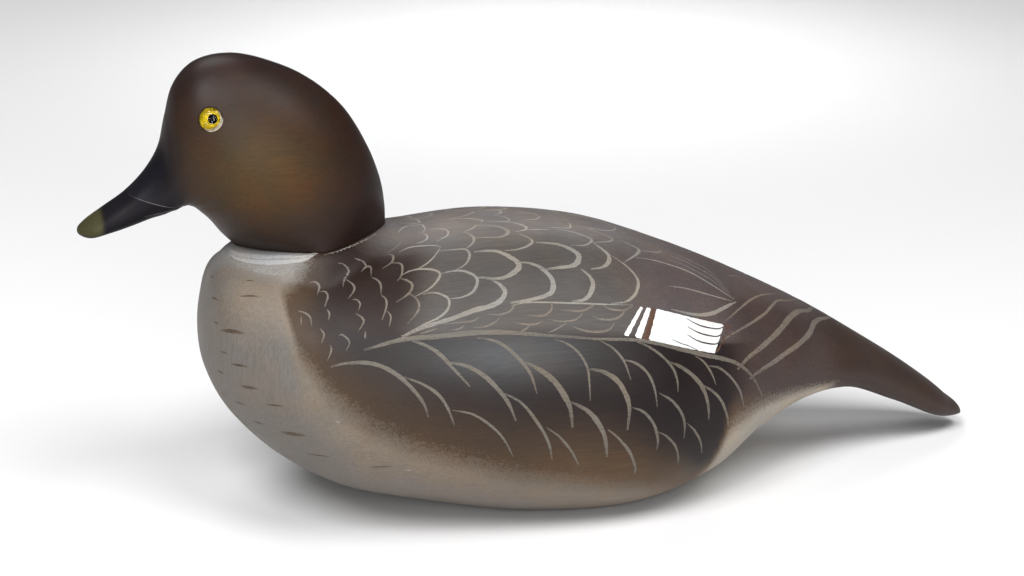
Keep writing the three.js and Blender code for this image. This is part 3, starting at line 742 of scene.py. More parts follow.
FLANK_PLUMES = [
    (2.5, -89.5, 62, -84, 60, -78, 58, -72, 56.8, -60, 55.7, -50, 55, -40, 55.2, -30, 56, -20, 56.8, 0, 57.5),
    (2.3, -14, 57.2, 0, 57.5, 15, 57.3, 25, 58.3, 35, 60, 45, 61.8, 52, 63, 58, 64.8, 63, 68, 68, 74, 73, 85),
    (2.0, -102, 70, -97, 68, -90, 66.8, -84, 67.5, -78, 70.5, -73, 75, -69.5, 79.5, -68, 84),
    (1.5, -76, 70.7, -69, 73, -64, 76, -61, 80, -58.5, 86),
    (1.2, -59, 81, -52, 82, -46, 85, -40, 90, -36.5, 97),
    (1.8, -72, 57.5, -67, 59, -62, 62, -57.5, 67, -52, 73),
    (2.1, -60, 64.8, -53, 66, -47, 69, -42, 73.5, -38, 78.5, -35.5, 84),
    (1.5, -40, 75, -33, 78.5, -27, 85, -23, 91, -21.5, 98),
    (1.2, -24, 86, -18, 89.5, -14, 94, -11, 100),
    (1.7, -47, 56.8, -41, 58, -36, 61, -31, 66, -28.5, 70, -27, 75.5),
    (2.8, -30.5, 65.3, -25, 68, -20, 71.5, -16.5, 76, -14.5, 80, -13.8, 86),
    (2.4, -14, 78, -8, 80.5, -4, 84, -1, 89, 0, 96),
    (1.5, 0, 86.3, 5, 89.5, 9, 94, 12, 102, 12, 106),
    (1.2, -18, 58, -13, 59.5, -9, 62.5, -6.5, 67, -6.3, 72, -6.5, 77.5),
    (2.5, -6, 67.3, 0, 68.3, 5, 71, 8, 75.5, 9, 80, 8, 86.5),
    (1.5, 10, 79.3, 15, 81, 19, 85, 20.8, 90, 20.5, 94),
    (1.2, 20.5, 87.5, 25, 89.5, 28.5, 93.5, 30.5, 100, 31, 106),
    (1.2, 0, 58, 5, 60.5, 8.5, 64.5, 10.5, 70.5),
    (1.4, 8, 64, 13, 65, 17.5, 68, 20, 73, 20.8, 79.5),
    (1.5, 22, 75, 27, 77.5, 31, 81.5, 32.8, 86, 32.5, 91),
    (1.2, 34, 86, 38, 89.5, 40.5, 95, 42, 103),
    (1.5, 14, 57.5, 20, 59.5, 25, 62.5, 29, 66.5, 30.5, 71, 30.3, 75),
    (2.3, 28, 64.5, 33, 66.3, 38, 69.5, 42, 74, 44, 80, 44.3, 86),
    (1.6, 42, 73, 47, 76, 51, 80.5, 53.5, 87, 54, 91),
    (1.2, 40, 62, 44, 64.5, 47, 69, 48.5, 73.5),
    (1.5, 46, 66, 51, 67, 56, 71, 60, 77, 61.5, 82, 62.5, 86),
]
RUMP_STROKES = [
    (1.1, 57, 48, 63, 43.5, 70, 37.5, 77, 30.5, 85, 22.5, 92, 16, 95, 12),
    (1.5, 54, 56, 60, 53, 68, 49, 75, 44.5, 82, 38, 88, 29.5, 93, 22, 99, 17, 103, 11.5, 107, 5),
    (3.4, 60, 68.5, 67, 64, 75, 59.5, 82, 53.5, 88, 46.5, 93, 39, 98, 31.5, 103, 24.5, 109, 18, 113, 9,
     117, 0),
    (3.2, 66, 74, 73, 71.5, 80, 68.5, 87, 63.5, 94, 57.5, 100, 50, 104, 43, 108, 33, 113, 24, 118, 16,
     122, 7, 124, 0),
    (0.8, 71, 15, 79, 9),
]
NECK_SEAM_LINE = [
    (1.0, -98.5, 27.6, -93.2, 24.6, -88.8, 21.5, -83.8, 17.7, -79, 13.8, -73.8, 9.1, -69.5, 4.5),
]
COLLAR = [
    (3.6, -130.5, 5, -128.5, 11, -124, 16.5, -119, 20.5, -114, 23, -108.8, 25.3, -104, 26.4, -99.4, 24.4),
    (2.2, -131, 8, -128.8, 14, -124.4, 19.5, -118.5, 23.5, -111.5, 26.3, -105, 27.6, -100.3, 26),
]
COLLAR_WASH = [(3.6, -131.5, 9, -130, 14.5, -124.8, 22, -117.8, 27, -111, 29.3, -105, 29.8)]
# Corners of the white wing patch, each at an x and an angle.
SPECULUM = ((27, 45), (58, 48.2), (50, 61.3), (20, 57.3))
SPECULUM_BAR = ((25.2, 45), (27.2, 45.2), (20.4, 57.3), (17.6, 57))
SPECULUM_SLIPS = [                    # corners of the two white bars before the brown one
    ((20, 45), (21.6, 45), (12.2, 56.2), (9.8, 56)),
    ((22.8, 45), (25, 45), (17.4, 57), (14.2, 56.4)),
]
SPECULUM_LINES = [
    (0.7, 40, 47.6, 44, 49.4, 48, 50.3, 54, 50.6, 57.2, 49.3),
    (0.7, 39.5, 50.9, 43, 52.6, 47, 53.6, 52.5, 54, 55.6, 52.6),
    (0.7, 38.5, 54.2, 42, 56, 46, 57, 51, 57.3, 53.6, 56),
    (0.4, 31, 56.5, 35, 57.8, 38, 58.5, 42, 60),
]
SPECULUM_DASHES = [
    (0.8, 57.6, 47.6, 58.8, 49.6, 58, 51.5), (0.9, 56, 53, 55.6, 55.5, 53.5, 57.5),
    (0.8, 58.5, 49, 61.5, 50.5), (0.9, 54, 57, 52, 59.5, 50, 61), (0.7, 57, 52, 60, 53.5),
]
# The breast flecks lie level: x, angle, length and width.
BREAST_FLECKS = [
    (-138, 13, 3, 0.8), (-138.5, 37, 7, 1.0), (-134.5, 65, 12, 2.6), (-127, 41, 9, 1.2),
    (-138.5, 110, 5, 1.5), (-133, 86, 9, 1.3), (-137, 139, 5, 1), (-130, 98, 9, 1.8),
    (-134.5, 149, 5, 1), (-132.5, 122, 8, 1.1),
    (-122, 99, 8, 1.2), (-129.5, 148, 6, 0.9), (-126.5, 126, 6, 1.3), (-115.5, 113, 11, 3.0),
    (-106.5, 120, 11, 1), (-84.5, 112, 10, 0.8), (-114.5, 144, 8, 0.8), (-126, 31, 4, 0.7),
    (-139, 60, 5, 0.9), (-137.5, 84, 5, 0.8),
]
# Width, and the x and z of both ends, of the pale lines painted as a highlight along the bill's joint and
# mouth.
BILL_LINES = [(0.4, (SCARF_UPPER, SCARF_LOWER)), (0.45, ((-149, 126.1), (-163, 124.4)))]
BILL_LINE_STEPS = 24
CAST_FROM = 60                        # how far out at the side a place on the bill is looked for
CHIPS = [(0.5, -101.4, 91.2, -100.7, 92, -99.9, 91.2), (0.5, -76, 111.2, -73, 110.8)]


STROKE_STEP = 1.2                     # millimetres between the stations of a stroke
STROKE_LIFT = 0.04                    # how far the middle of a stroke stands proud
STROKE_EDGE = -0.01                   # the rim of a stroke lies just under the surface
STROKE_DEPTH = 0.15
STROKE_COVER = 0.9
BLUNT = 0.3                           # the width of a stroke's ends, as a share of its middle
PATCH_UNEVEN = 0.09                   # how far a patch's edges wander, in its own coordinates


def places_of(stroke):
    return np.array(stroke[1:], float).reshape(-1, 2)


def skin_points(x, angle):
    points = hull.look_up(hull.points, x, angle)
    normals = hull.look_up(hull.normals, x, angle)
    return points, normals / np.linalg.norm(normals, axis=1, keepdims=True)


class PaintMesh:
    """Gathers thin closed strokes and patches of paint that lie on a surface, on both sides of the duck."""

    def __init__(self, surface):
        self.surface = surface
        self.vertices, self.faces, self.paint, self.under, self.cover = [], [], [], [], []
        self.count = 0

    def add(self, vertices, faces, ground, colour, cover):
        for side in (1, -1):
            self.vertices.append(vertices * (1, side, 1))
            self.faces += [tuple(np.array(face) + self.count) for face in faces]
            self.paint.append(np.tile(colour, (len(vertices), 1)))
            self.under.append(ground)
            self.cover.append(cover)
            self.count += len(vertices)

    def seated(self, points):
        """The nearest places on the surface, and its normals there."""
        found = [self.surface.find_nearest(Vector(point) * MM)[:2] for point in points]
        places = np.array([place for place, _ in found]) / MM
        return places, np.array([normal for _, normal in found])

    def stroke(self, stroke, colour, cover=STROKE_COVER, lift=STROKE_LIFT, blunt=BLUNT, base=STROKE_EDGE):
        """A brush stroke over the body that is thin at both ends and fades there."""
        places = places_of(stroke)
        rough, _ = skin_points(*places.T)
        length = np.linalg.norm(np.diff(rough, axis=0), axis=1).sum()
        stations = np.linspace(0, len(places) - 1, max(6, int(length / STROKE_STEP)) + 1)
        x, angle = smooth_rows(places, slopes_of(places), stations).T
        line = skin_points(x, angle)
        self.ribbon(*line, stroke[0], hull_colour(x, angle), colour, cover, lift, blunt, base)

    def ribbon(self, centre, normal, width, ground, colour, cover=STROKE_COVER, lift=STROKE_LIFT,
               blunt=BLUNT, base=STROKE_EDGE):
        """A thin raised line of paint along centre, with an uneven width."""
        t = np.linspace(0, 1, len(centre))
        along = np.gradient(centre, axis=0)
        length = np.linalg.norm(along, axis=1).sum()
        across = np.cross(normal, along)
        across /= np.linalg.norm(across, axis=1, keepdims=True)
        swell = np.sin(np.pi * np.clip(t, 0.02, 0.98)) ** 0.8
        wobble = 1 + 0.12 * np.sin(t * length * 0.9 + centre[0, 0]) * np.sin(t * length * 0.37)
        half = (width / 2 * (blunt + (1 - blunt) * swell) * wobble)[:, None]
        left, middle, right = (self.seated(centre + across * half * side)[0] for side in (-1, 0, 1))
        rows = np.stack([left + normal * base, middle + normal * lift,
                         right + normal * base, middle - normal * STROKE_DEPTH], 1)
        sides, last = 4, 4 * (len(t) - 1)
        faces = ring_faces(len(t), sides) + [(3, 2, 1, 0), tuple(range(last, last + sides))]
        faded = cover * (0.45 + 0.55 * np.sin(np.pi * np.clip(t, 0.03, 0.97)) ** 0.5)
        under = np.repeat(ground, sides, axis=0)
        self.add(rows.reshape(-1, 3), faces, under, colour, np.repeat(faded, sides))

    def patch(self, corners, colour, cover=1.0, lift=0.05, cells=(24, 16)):
        """A flat patch of paint between four corners, with slightly uneven edges."""
        u, v = np.meshgrid(np.linspace(0, 1, cells[0] + 1), np.linspace(0, 1, cells[1] + 1))
        a, b, c, d = (np.array(corner, float) for corner in corners)
        u, v = u[..., None], v[..., None]
        places = a * (1 - u) * (1 - v) + b * u * (1 - v) + c * u * v + d * (1 - u) * v
        rim = np.maximum(np.abs(u - 0.5), np.abs(v - 0.5)) * 2
        places = places + PATCH_UNEVEN * rim**6 * np.sin(places[..., ::-1] * (2.1, 3.3))
        x, angle = places.reshape(-1, 2).T
        points, normals = self.seated(skin_points(x, angle)[0])
        edge = (rim.reshape(-1, 1) > 0.999)
        top = points + normals * np.where(edge, STROKE_EDGE, lift)
        bottom = points - normals * STROKE_DEPTH
        count = len(top)
        grid = np.arange(count).reshape(cells[1] + 1, cells[0] + 1)
        faces = []
        for i, j, k, m in zip(grid[:-1, :-1].flat, grid[:-1, 1:].flat, grid[1:, 1:].flat, grid[1:, :-1].flat):
            faces += [(i, j, k, m), (m + count, k + count, j + count, i + count)]
        loop = [*grid[0, :-1], *grid[:-1, -1], *grid[-1, :0:-1], *grid[:0:-1, 0]]
        faces += [(i, i + count, j + count, j) for i, j in zip(loop, loop[1:] + loop[:1])]
        self.add(np.vstack([top, bottom]), faces, hull_colour(np.tile(x, 2), np.tile(angle, 2)), colour,
                 np.full(2 * count, cover))

    def build(self, name):
        piece = mesh_object(name, np.vstack(self.vertices), self.faces)
        face_outwards(piece)
        piece.data.set_sharp_from_angle(angle=SHARP_ANGLE)
        set_layers(piece.data, np.vstack(self.paint), np.vstack(self.under), np.concatenate(self.cover))
        return piece


FEATHER_PALE = srgb(120, 115, 108)
FLANK_PALE = srgb(91, 85, 77)
HOOK_PALE = srgb(98, 90, 82)
WHITE = srgb(203, 202, 200)
COLLAR_WHITE = srgb(143, 141, 139)
FLECK_BROWN = srgb(65, 52, 39)
FLECK_RISE = 0.14                     # how far a fleck rises along its length
# Feather edges on the ridge are painted paler, to go with the painted highlight there.
RIDGE_HIGHLIGHT_PALE = srgb(134, 128, 121)
RIDGE_ANGLE = 12                      # strokes above this are paler, as the back is painted paler there as a highlight
BAR_BROWN = srgb(76, 54, 42)
HAIRLINE = srgb(58, 55, 52)
# Pale grey painted as a highlight along the edges of the bill's joint and mouth.
BILL_HIGHLIGHT_GREY = srgb(80, 76, 79)
BAR_CELLS = (3, 16)                   # across and along a narrow bar


def tertial_fringe():
    """Fine lines that fan out over the upper edge of the tertials."""
    lines = []
    for k in range(1, TERTIAL_FRINGE + 1):
        lines.append((0.6, 38 + 4 * k, 20.6 - 3.6 * k, 48 + k, 21.5 - 3.9 * k, 56, 25.4 - 4.4 * k,
                      62, 29.3 - 4.2 * k, 66.5, 33 - 1.5 * k))
    return lines


def level_stroke(x, angle, length, width):
    """A short stroke that lies level, round the place at x and angle."""
    spot = np.array([[x, angle], [x + 0.5, angle], [x, angle + 1.0]])
    points, _ = skin_points(*spot.T)
    by_x, by_angle = (points[1] - points[0]) / 0.5, points[2] - points[0]
    way = np.array([by_angle[2], -by_x[2]])
    way /= np.linalg.norm(by_x * way[0] + by_angle * way[1])
    way *= 1 if way[0] > 0 else -1
    way[1] -= FLECK_RISE / np.linalg.norm(by_angle)
    ends = [np.array([x, angle]) + way * length * share for share in (-0.5, -0.2, 0.1, 0.5)]
    ends[3] = ends[3] + (0, 0.6)
    return (width, *np.concatenate(ends))


def feather_piece(surface):
    marks = PaintMesh(surface)
    for stroke in SHOULDER_HOOKS:
        marks.stroke(stroke, HOOK_PALE, 0.8)
    for stroke in SCAPULAR_EDGES + TERTIAL_EDGES:
        # strokes on the ridge take the paler colour of the painted highlight
        on_ridge = places_of(stroke)[:, 1].mean() < RIDGE_ANGLE
        marks.stroke(stroke, RIDGE_HIGHLIGHT_PALE if on_ridge else FEATHER_PALE, 0.9, lift=0.05)
    for stroke in tertial_fringe() + NECK_SEAM_LINE:
        marks.stroke(stroke, FEATHER_PALE, 0.7)
    for stroke in COVERTS:
        marks.stroke(stroke, HOOK_PALE, 0.8)
    for stroke in FLANK_PLUMES:
        marks.stroke(stroke, FLANK_PALE, 0.85, lift=0.05)
    for stroke in RUMP_STROKES:
        marks.stroke(stroke, HOOK_PALE, 0.85, lift=0.05)
    return marks.build("feather_edges")


def breast_fleck_piece(surface):
    marks = PaintMesh(surface)
    for fleck in BREAST_FLECKS:
        marks.stroke(level_stroke(*fleck), FLECK_BROWN, 0.75, blunt=0.1)
    return marks.build("breast_flecks")


def white_paint_piece(surface):
    marks = PaintMesh(surface)
    for stroke in COLLAR_WASH:
        marks.stroke(stroke, COLLAR_WHITE, 0.25, lift=0.03)
    for stroke in COLLAR:
        marks.stroke(stroke, COLLAR_WHITE, 0.95, lift=0.09)
    marks.patch(SPECULUM, WHITE)
    for corners in SPECULUM_SLIPS:
        marks.patch(corners, WHITE, cells=BAR_CELLS)
    for stroke in CHIPS:
        marks.stroke(stroke, COLLAR_WHITE, 0.6)
    return marks.build("white_paint")


def speculum_detail_piece(surface):
    """The brown bar and the dark lines that are painted over the white wing patch."""
    marks = PaintMesh(surface)
    marks.patch(SPECULUM_BAR, BAR_BROWN, cells=BAR_CELLS, lift=0.07)
    for stroke in SPECULUM_LINES:
        marks.stroke(stroke, HAIRLINE, 0.9, lift=0.1, base=0.06)
    for stroke in SPECULUM_DASHES:
        marks.stroke(stroke, BAR_BROWN, 0.95, lift=0.1, base=0.06)
    return marks.build("speculum_detail")


def bill_line_piece(surface):
    """Pale lines along the bill's joint and mouth: a painted highlight on the edges of the cuts."""
    marks = PaintMesh(surface)
    for width, path in BILL_LINES:
        x, z = np.array([np.linspace(*ends, BILL_LINE_STEPS) for ends in zip(*path)])
        starts = [Vector((px, -CAST_FROM, pz)) * MM for px, pz in zip(x, z)]
        hits = [surface.ray_cast(start, Vector((0, 1, 0)))[:2] for start in starts]
        centre = np.array([place for place, _ in hits if place]) / MM
        normal = np.array([way for place, way in hits if place])
        marks.ribbon(centre, normal, width, bill_colour(centre), BILL_HIGHLIGHT_GREY, 0.8, base=-0.02)
    return marks.build("bill_lines")


# ------------------------------------------------------------------ body

HOLLOW_CENTRE = (-25, 0, 48)
HOLLOW_RADII = (80, 30, 42)
DECK_Z = 86                           # flat ceiling over the neck screw
NECK_BORE_RADIUS = 11
BALLAST_X = 18
BALLAST_RECESS = (68, 28, 8)          # length, width and depth
TIE_RECESS_X = -34
TIE_RECESS_RADIUS = 13
TIE_RECESS_DEPTH = 10
HOLE_GAP = 0.3
UNDER = -5                            # cuts from below start here
SCREW_REACH = 20                      # carries a screw hole on downwards, out of the bottom board
BARE_DEPTH = 2.5                      # a face this far inside the skin is bare wood
BREAST_TIP_X = -138                   # in front of this all is painted
NECK_FASTENERS = ["neck_lag_screw", "neck_locating_pin"]
SEAM_FASTENERS = [f"seam_dowel_{k}" for k in (1, 2, 3, 4)]
SEAM_FASTENERS += [f"bottom_screw_{k}" for k in (1, 2, 3, 4, 5, 6, 7)]


def rod(x, y, radius, z0, z1, sides=40):
    piece = turned_form("cutter", [(0, z0), (radius, z0), (radius, z1), (0, z1)], sides)
    piece.data.transform(Matrix.Translation(Vector((x, y, 0)) * MM))
    return piece


def hole_for(node, reach=0):
    """A straight hole round an upright fastener, carried on downwards by the reach."""
    low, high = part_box(node)
    middle = (low + high) / 2 / MM
    radius = (high.y - low.y) / 2 / MM + HOLE_GAP
    return rod(middle.x, middle.y, radius, low.z / MM - HOLE_GAP - reach, high.z / MM + HOLE_GAP)


def chamber():
    """The hollow inside the body."""
    steps = np.linspace(-np.pi / 2, np.pi / 2, 25)
    piece = turned_form("cutter", [(math.cos(t), math.sin(t)) for t in steps], 64)
    place = Matrix.Translation(Vector(HOLLOW_CENTRE) * MM)
    piece.data.transform(place @ Matrix.Diagonal((*HOLLOW_RADII, 1)))
    return piece


def paint_block(piece):
    """Plumage on the outside of a body piece, bare wood in its holes and on its cut faces."""
    points = points_of(piece.data)
    x, angle = points[:, 0], hull.angle_of(points)
    ground, plumage, cover = hull_layers(x, angle)
    skin, _ = skin_points(x, angle)
    depth = np.hypot(np.abs(skin[:, 1]) - np.abs(points[:, 1]), skin[:, 2] - points[:, 2])
    inside = (depth > BARE_DEPTH) & (x > BREAST_TIP_X)
    ground[inside] = BARE_WOOD
    cover[inside] = 0
    set_layers(piece.data, plumage, ground, cover)


def body_pieces():
    """The body block and the bottom board, parted at the seam."""
    whole = carved_form("hull_block", BODY_RIBS, 16, 300, -1, shape_hull)
    board = twin(whole, "hull_board")
    extent = (NOSE_X - 10, SEAM_END_X, LENGTH / 2, UNDER)
    neck_x = sum(corner.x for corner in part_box("neck_lag_screw")) / 2 / MM
    neck_bore = rod(neck_x, 0, NECK_BORE_RADIUS, SEAM_Z - 1, DECK_Z)
    cut(whole, [solid_block(*extent, SEAM_Z + SEAM_LINE), chamber(), neck_bore]
        + [hole_for(node) for node in NECK_FASTENERS + SEAM_FASTENERS])

    length, width, depth = BALLAST_RECESS
    recess = solid_block(BALLAST_X - length / 2, BALLAST_X + length / 2, width / 2, UNDER, depth)
    tie_recess = rod(TIE_RECESS_X, 0, TIE_RECESS_RADIUS, UNDER, TIE_RECESS_DEPTH)
    cut(board, [solid_block(*extent, SEAM_Z - SEAM_LINE)], "INTERSECT")
    cut(board, [recess, tie_recess]
        + [hole_for(node, reach=SCREW_REACH if "screw" in node else 0) for node in SEAM_FASTENERS])
    paint_block(whole)
    paint_block(board)
    return whole, board


# ------------------------------------------------------------------ head and eyes

BILL_GAP = 0.05                       # half the open width of the bill's joint
EYE_PLACE = (-137.9, 19.8, 163)
EYE_OUTWARD = (-0.32, 0.9, 0.29)
EYE_SOCKET_RADIUS = 4.75
EYE_SOCKET_DEPTH = 6.5
GLASS_RADIUS = 4.35
GLASS_BACK = -1.9
GLASS_DOME = 1.5
PUPIL_RADIUS = 1.7
IRIS_RADIUS = 3.6
IRIS_SHIFT = 0.5                      # forwards and up, which bares a pale crescent behind and below
PUPIL_SHIFT = 0.5                     # the pupils look slightly backwards
PUTTY_RING = [                        # radius and z round the bead of filler
    (EYE_SOCKET_RADIUS - 0.05, -4), (EYE_SOCKET_RADIUS - 0.05, -0.1), (EYE_SOCKET_RADIUS - 0.15, 0.15),
    (EYE_SOCKET_RADIUS - 0.28, 0.2), (GLASS_RADIUS + 0.03, 0.02), (GLASS_RADIUS + 0.03, -4),
]
CRESCENT_WAY = (0.62, 0, -0.78)       # from the eye towards its worn pale crescent
EYE_SLOTS = {"glass": "eye_glass", "iris": "iris_enamel", "pupil": "pupil_enamel"}


def eye_frame(side):
    """An eye's own frame: +Z looks out of the head."""
    outward = Vector((EYE_OUTWARD[0], side * EYE_OUTWARD[1], EYE_OUTWARD[2])).normalized()
    turn = Vector((0, 0, 1)).rotation_difference(outward).to_matrix().to_4x4()
    return Matrix.Translation(Vector((EYE_PLACE[0], side * EYE_PLACE[1], EYE_PLACE[2])) * MM) @ turn


def in_eye(piece, side):
    piece.data.transform(eye_frame(side))
    return piece


def bill_wedge(offset):
    """A block that ends at the bill's scarf joint, or the offset behind it."""
    slope = math.atan2(SCARF_UPPER[1] - SCARF_LOWER[1], SCARF_LOWER[0] - SCARF_UPPER[0])
    block = solid_block(offset - 80, offset, 30, offset - 40, offset)
    place = Matrix.Translation(Vector((SCARF_LOWER[0], 0, SCARF_LOWER[1])) * MM)
    block.data.transform(place @ Matrix.Rotation(slope, 4, "Y"))
    return block


def eye_socket(side):
    return in_eye(rod(0, 0, EYE_SOCKET_RADIUS, -EYE_SOCKET_DEPTH, 6, 64), side)


def head_pieces():
    """The head and the inlet bill, parted by the scarf joint, and the surface of both before that."""
    head = carved_form("head_block", HEAD_RIBS, 12, 120, 1)
    bill = twin(head, "bill_inlet")
    uncut = BVHTree.FromObject(head, bpy.context.evaluated_depsgraph_get())
    cut(head, [bill_wedge(BILL_GAP), eye_socket(-1), eye_socket(1)]
        + [hole_for(node) for node in NECK_FASTENERS])
    cut(bill, [bill_wedge(-BILL_GAP)], "INTERSECT")
    for piece, colour in ((head, head_colour), (bill, bill_colour)):
        paint = colour(points_of(piece.data))
        set_layers(piece.data, paint, paint, np.ones(len(paint)))
    return head, bill, uncut


def dome(radius, edge_z, top_z, steps=10):
    """Radius and z points over a dome, from its edge to its top."""
    turns = [math.pi / 2 * step / steps for step in range(steps)]
    rise = top_z - edge_z
    return [(radius * math.cos(t), edge_z + rise * math.sin(t)) for t in turns] + [(0, top_z)]


def putty_piece(side, name):
    """The painted bead of filler round the glass, worn pale low at the back."""
    turn = np.linspace(0, 2 * np.pi, 64, endpoint=False)
    vertices = [(r * math.cos(t), r * math.sin(t), z) for t in turn for r, z in PUTTY_RING]
    faces = ring_faces(len(turn), len(PUTTY_RING), closed=True, flip=True)
    piece = in_eye(mesh_object(name, vertices, faces), side)
    points = points_of(piece.data)
    away = (points - np.array(EYE_PLACE) * (1, side, 1)) @ np.array(CRESCENT_WAY)
    paint = layer_over(head_colour(points), EYE_CRESCENT, smooth_step(away, 2.0, 3.2))
    set_layers(piece.data, paint, paint, np.ones(len(paint)))
    return piece


def disc(name, radius, thick, crown, shift, sides=64):
    """A thin disc in the eye whose face is crowned and lies at the shift."""
    piece = turned_form(name, [(0, -thick), (radius, -thick), (radius, 0), (0, crown)], sides)
    piece.data.transform(Matrix.Translation(Vector(shift) * MM))
    return piece


def add_eyes(head_material):
    glass, iris = clear_glass(), iris_paint()
    pupil = plain_gloss("pupil_enamel", PUPIL_BLACK, 0.3, specular=0.05)
    pale = plain_gloss("eye_backing", EYE_CRESCENT, 0.5)
    for side, word in ((-1, "left"), (1, "right")):
        lens = turned_form(f"glass_{word}", [(0, GLASS_BACK), (GLASS_RADIUS - 0.05, GLASS_BACK)]
                           + dome(GLASS_RADIUS, -0.5, GLASS_DOME), 64)
        coloured = disc(f"iris_{word}", IRIS_RADIUS, 0.6, 0.05,
                        (-IRIS_SHIFT, -side * IRIS_SHIFT, GLASS_BACK - 0.15))
        backing = disc(f"eye_back_{word}", GLASS_RADIUS - 0.1, 1.2, 0, (0, 0, GLASS_BACK - 0.3))
        dot = disc(f"pupil_{word}", PUPIL_RADIUS, 0.3, 0.03, (PUPIL_SHIFT, 0, GLASS_BACK - 0.06), 48)
        ready(in_eye(backing, side), pale, "putty")
        parts = {"glass": (lens, glass), "iris": (coloured, iris), "pupil": (dot, pupil)}
        for part, (piece, material) in parts.items():
            ready(in_eye(piece, side), material, EYE_SLOTS[part], f"eye_{part}_{word}")
        ready(putty_piece(side, f"putty_{word}"), head_material, "putty", f"eye_putty_{word}")


def ready(piece, material, slot, *nodes, body="decoy"):
    """Gives a piece its material, and says what it rides on and stands for."""
    piece.data.materials.append(material)
    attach(piece, body)
    if nodes:
        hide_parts(*nodes)
    return piece


# ------------------------------------------------------------------ hardware

TIE_WIRE = 1.0
TIE_EYE_PLACE = (-26, 4.6)            # x and z
TIE_EYE_RADIUS = 3.4
TIE_EYE_START = math.radians(80)
TIE_EYE_TURN = math.radians(330)
TIE_SHANK_TOP = 18
TIE_SHANK_GAP = 0.6                   # lets the shank bend into the eye
TIE_RING_RADIUS = 8
TIE_RING_WIRE = 1.1
TIE_RING_DROOP = math.radians(8.3)


def tube(name, path, radius, closed=False, sides=16):
    """A round wire along a path of points that lies in one plane."""
    path = np.array(path, float)
    ahead = np.roll(path, -1, 0) - np.roll(path, 1, 0) if closed else np.gradient(path, axis=0)
    ahead /= np.linalg.norm(ahead, axis=1, keepdims=True)
    plane = np.cross(ahead[0], ahead[len(path) // 3])
    plane /= np.linalg.norm(plane)
    out = np.cross(ahead, plane)
    vertices = []
    for place, way in zip(path, out):
        for t in np.linspace(0, 2 * np.pi, sides, endpoint=False):
            vertices.append(tuple(place + radius * (math.cos(t) * way + math.sin(t) * plane)))
    faces = ring_faces(len(path), sides, closed=closed)
    if not closed:
        last = len(vertices)
        faces += [tuple(range(sides - 1, -1, -1)), tuple(range(last - sides, last))]
    piece = mesh_object(name, vertices, faces)
    face_outwards(piece)
    return piece


def round_arc(middle, radius, turns):
    """Places at the turns on a circle round the middle, x and z, in the plane of symmetry."""
    return [(middle[0] + radius * math.cos(t), 0, middle[1] + radius * math.sin(t)) for t in turns]


def add_line_tie(brass):
    """The screw eye for the line tie, and the ring that swings in it."""
    ring = []
    for t in np.linspace(0, 2 * np.pi, 72, endpoint=False):
        ring.append((TIE_RING_RADIUS * (math.cos(t) - 1), TIE_RING_RADIUS * math.sin(t), 0))
    piece = tube("tie_ring_wire", ring, TIE_RING_WIRE, closed=True)
    joint = next(joint for joint in frame["joints"] if joint["name"] == "line_tie_swing")
    hung = Matrix.Translation(Vector(joint["pos_m"])) @ Matrix.Rotation(-TIE_RING_DROOP, 4, "Y")
    piece.data.transform(hung)
    ready(piece, brass, "brass", "line_tie_ring", body="tie_ring")

    x, z = TIE_EYE_PLACE
    shank = TIE_SHANK_TOP - z - TIE_EYE_RADIUS - TIE_SHANK_GAP
    path = [(x, 0, TIE_SHANK_TOP - step) for step in np.linspace(0, shank, 8)]
    path += round_arc(TIE_EYE_PLACE, TIE_EYE_RADIUS, TIE_EYE_START - np.linspace(0, TIE_EYE_TURN, 60))
    ready(tube("tie_screw_eye", path, TIE_WIRE), brass, "brass", "line_tie_eye")


def dress_nodes(brass, steel, lead, wood):
    """Better materials for the fastenings, which keep their own shapes."""
    materials = {
        ("bottom_screw", "ballast_screw"): brass,
        ("lead_ballast",): lead,
        ("neck_lag", "neck_washer", "eye_wire"): steel,
        ("seam_dowel", "neck_locating", "bill_pin"): wood,
    }
    for name, node in frame["nodes"].items():
        for starts, material in materials.items():
            if name.startswith(starts):
                for place in node.material_slots:
                    place.material = material


# ------------------------------------------------------------------ stage

CAMERA_AZIMUTH = math.radians(-16)
CAMERA_HEIGHT = math.radians(18)
CAMERA_DISTANCE = 0.9
CAMERA_TARGET = Vector((-0.01604, 0, 0.08014))
CAMERA_LENS = 78.26
CAMERA_SENSOR = 36
CAMERA_NEAR = 0.01
FLOOR_REACH = 4000
FLOOR_WHITE = (0.72, 0.72, 0.725)
WORLD_LIGHT = 0.08
MIDDLE = (0, 0, 0.05)                 # what the lights look at
LIGHTS = [                            # name, place, what it looks at, size and power
    ("key_right", (0.7, -1.1, 2.1), MIDDLE, 1.3, 40),
    ("key_left", (-1.1, -1.2, 2.0), MIDDLE, 1.3, 56),
    ("fill", (-0.3, -1.6, 0.6), MIDDLE, 0.9, 14),
    ("rear", (-0.3, 1.2, 2.0), MIDDLE, 1.3, 16),
]
BACKDROP_SPREAD = math.radians(38)    # narrow, so that it lights only the paper behind the duck


def place_camera():
    data = bpy.data.cameras.new("camera")
    data.lens = CAMERA_LENS
    data.sensor_width = CAMERA_SENSOR
    data.clip_start = CAMERA_NEAR
    camera = bpy.data.objects.new("camera", data)
    bpy.context.scene.collection.objects.link(camera)
    back = Vector((math.sin(CAMERA_AZIMUTH) * math.cos(CAMERA_HEIGHT),
                   -math.cos(CAMERA_AZIMUTH) * math.cos(CAMERA_HEIGHT), math.sin(CAMERA_HEIGHT)))
    camera.location = CAMERA_TARGET + back * CAMERA_DISTANCE
    camera.rotation_euler = back.to_track_quat("Z", "Y").to_euler()
    bpy.context.scene.camera = camera


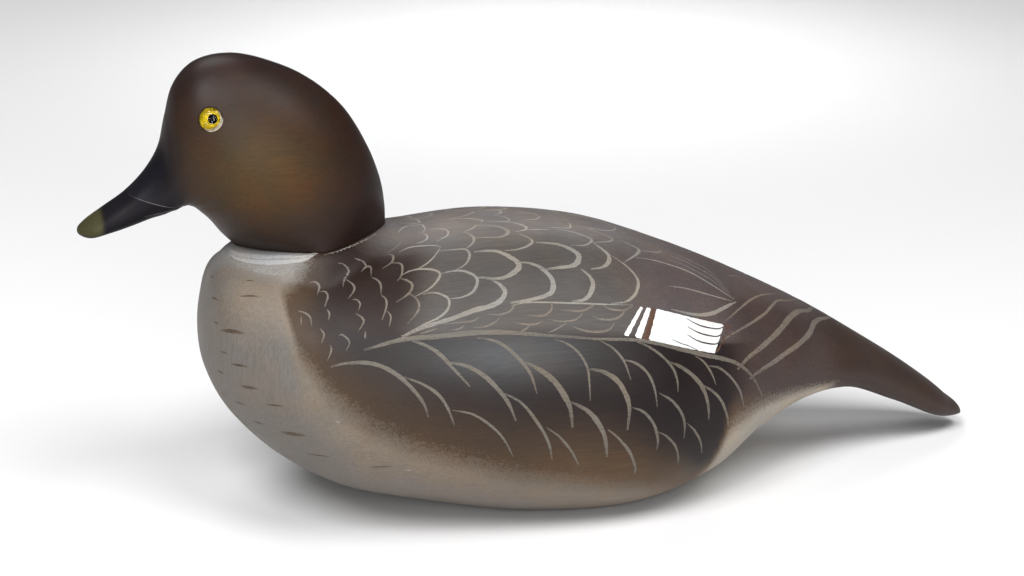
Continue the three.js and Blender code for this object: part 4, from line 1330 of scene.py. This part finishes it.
def area_light(name, place, aim, size, power, spread=math.pi):
    data = bpy.data.lights.new(name, "AREA")
    data.shape = "DISK"
    data.size = size
    data.energy = power
    data.spread = spread
    light = bpy.data.objects.new(name, data)
    bpy.context.scene.collection.objects.link(light)
    light.location = place
    light.rotation_euler = (Vector(place) - Vector(aim)).to_track_quat("Z", "Y").to_euler()


def build_stage():
    corners = [(x * FLOOR_REACH, y * FLOOR_REACH, 0) for x, y in ((-1, -1), (1, -1), (1, 1), (-1, 1))]
    floor = mesh_object("floor", corners, [(0, 1, 2, 3)])
    n = Nodes("floor_paper")
    floor.data.materials.append(n.finish(FLOOR_WHITE, 0.6))
    world = bpy.data.worlds.new("studio")
    world.use_nodes = True
    light = world.node_tree.nodes["Background"].inputs
    light["Color"].default_value = (1, 1, 1, 1)
    light["Strength"].default_value = WORLD_LIGHT
    bpy.context.scene.world = world
    for settings in LIGHTS:
        area_light(*settings)
    area_light("backdrop", (0.25, 0.8, 1.2), (0.25, 0.8, 0), 0.3, 0.5, BACKDROP_SPREAD)
    bpy.context.scene.view_settings.view_transform = "Standard"


# ------------------------------------------------------------------ build

place_camera()
build_stage()

body_paint = oil_paint("body_paint", turn=NECK_TURN)
head_paint = oil_paint("head_paint", gloss=0.46, streak=0.16, specular=0.2, mottle=0.14)
bill_paint = oil_paint("bill_paint", specular=0.12)
hull_block, hull_board = body_pieces()
ready(hull_block, body_paint, "hull_paint", "body_block")
ready(hull_board, body_paint, "belly_paint", "bottom_board")
head_block, bill_inlet, head_surface = head_pieces()
ready(head_block, head_paint, "head_paint", "head")
ready(bill_inlet, bill_paint, "bill_paint", "bill")
body_surface = BVHTree.FromObject(hull_block, bpy.context.evaluated_depsgraph_get())
for paint_layer in (feather_piece, breast_fleck_piece, white_paint_piece, speculum_detail_piece):
    ready(paint_layer(body_surface), body_paint, "hull_paint")
ready(bill_line_piece(head_surface), bill_paint, "bill_paint")
add_eyes(head_paint)
brass = metal("dull_brass", (0.55, 0.37, 0.14), (0.2, 0.12, 0.05), 0.35)
steel = metal("zinc_steel", (0.5, 0.5, 0.51), (0.3, 0.3, 0.31), 0.35)
lead = metal("cast_lead", (0.2, 0.2, 0.21), (0.09, 0.09, 0.095), 0.55)
add_line_tie(brass)
dress_nodes(brass, steel, lead, bare_wood())
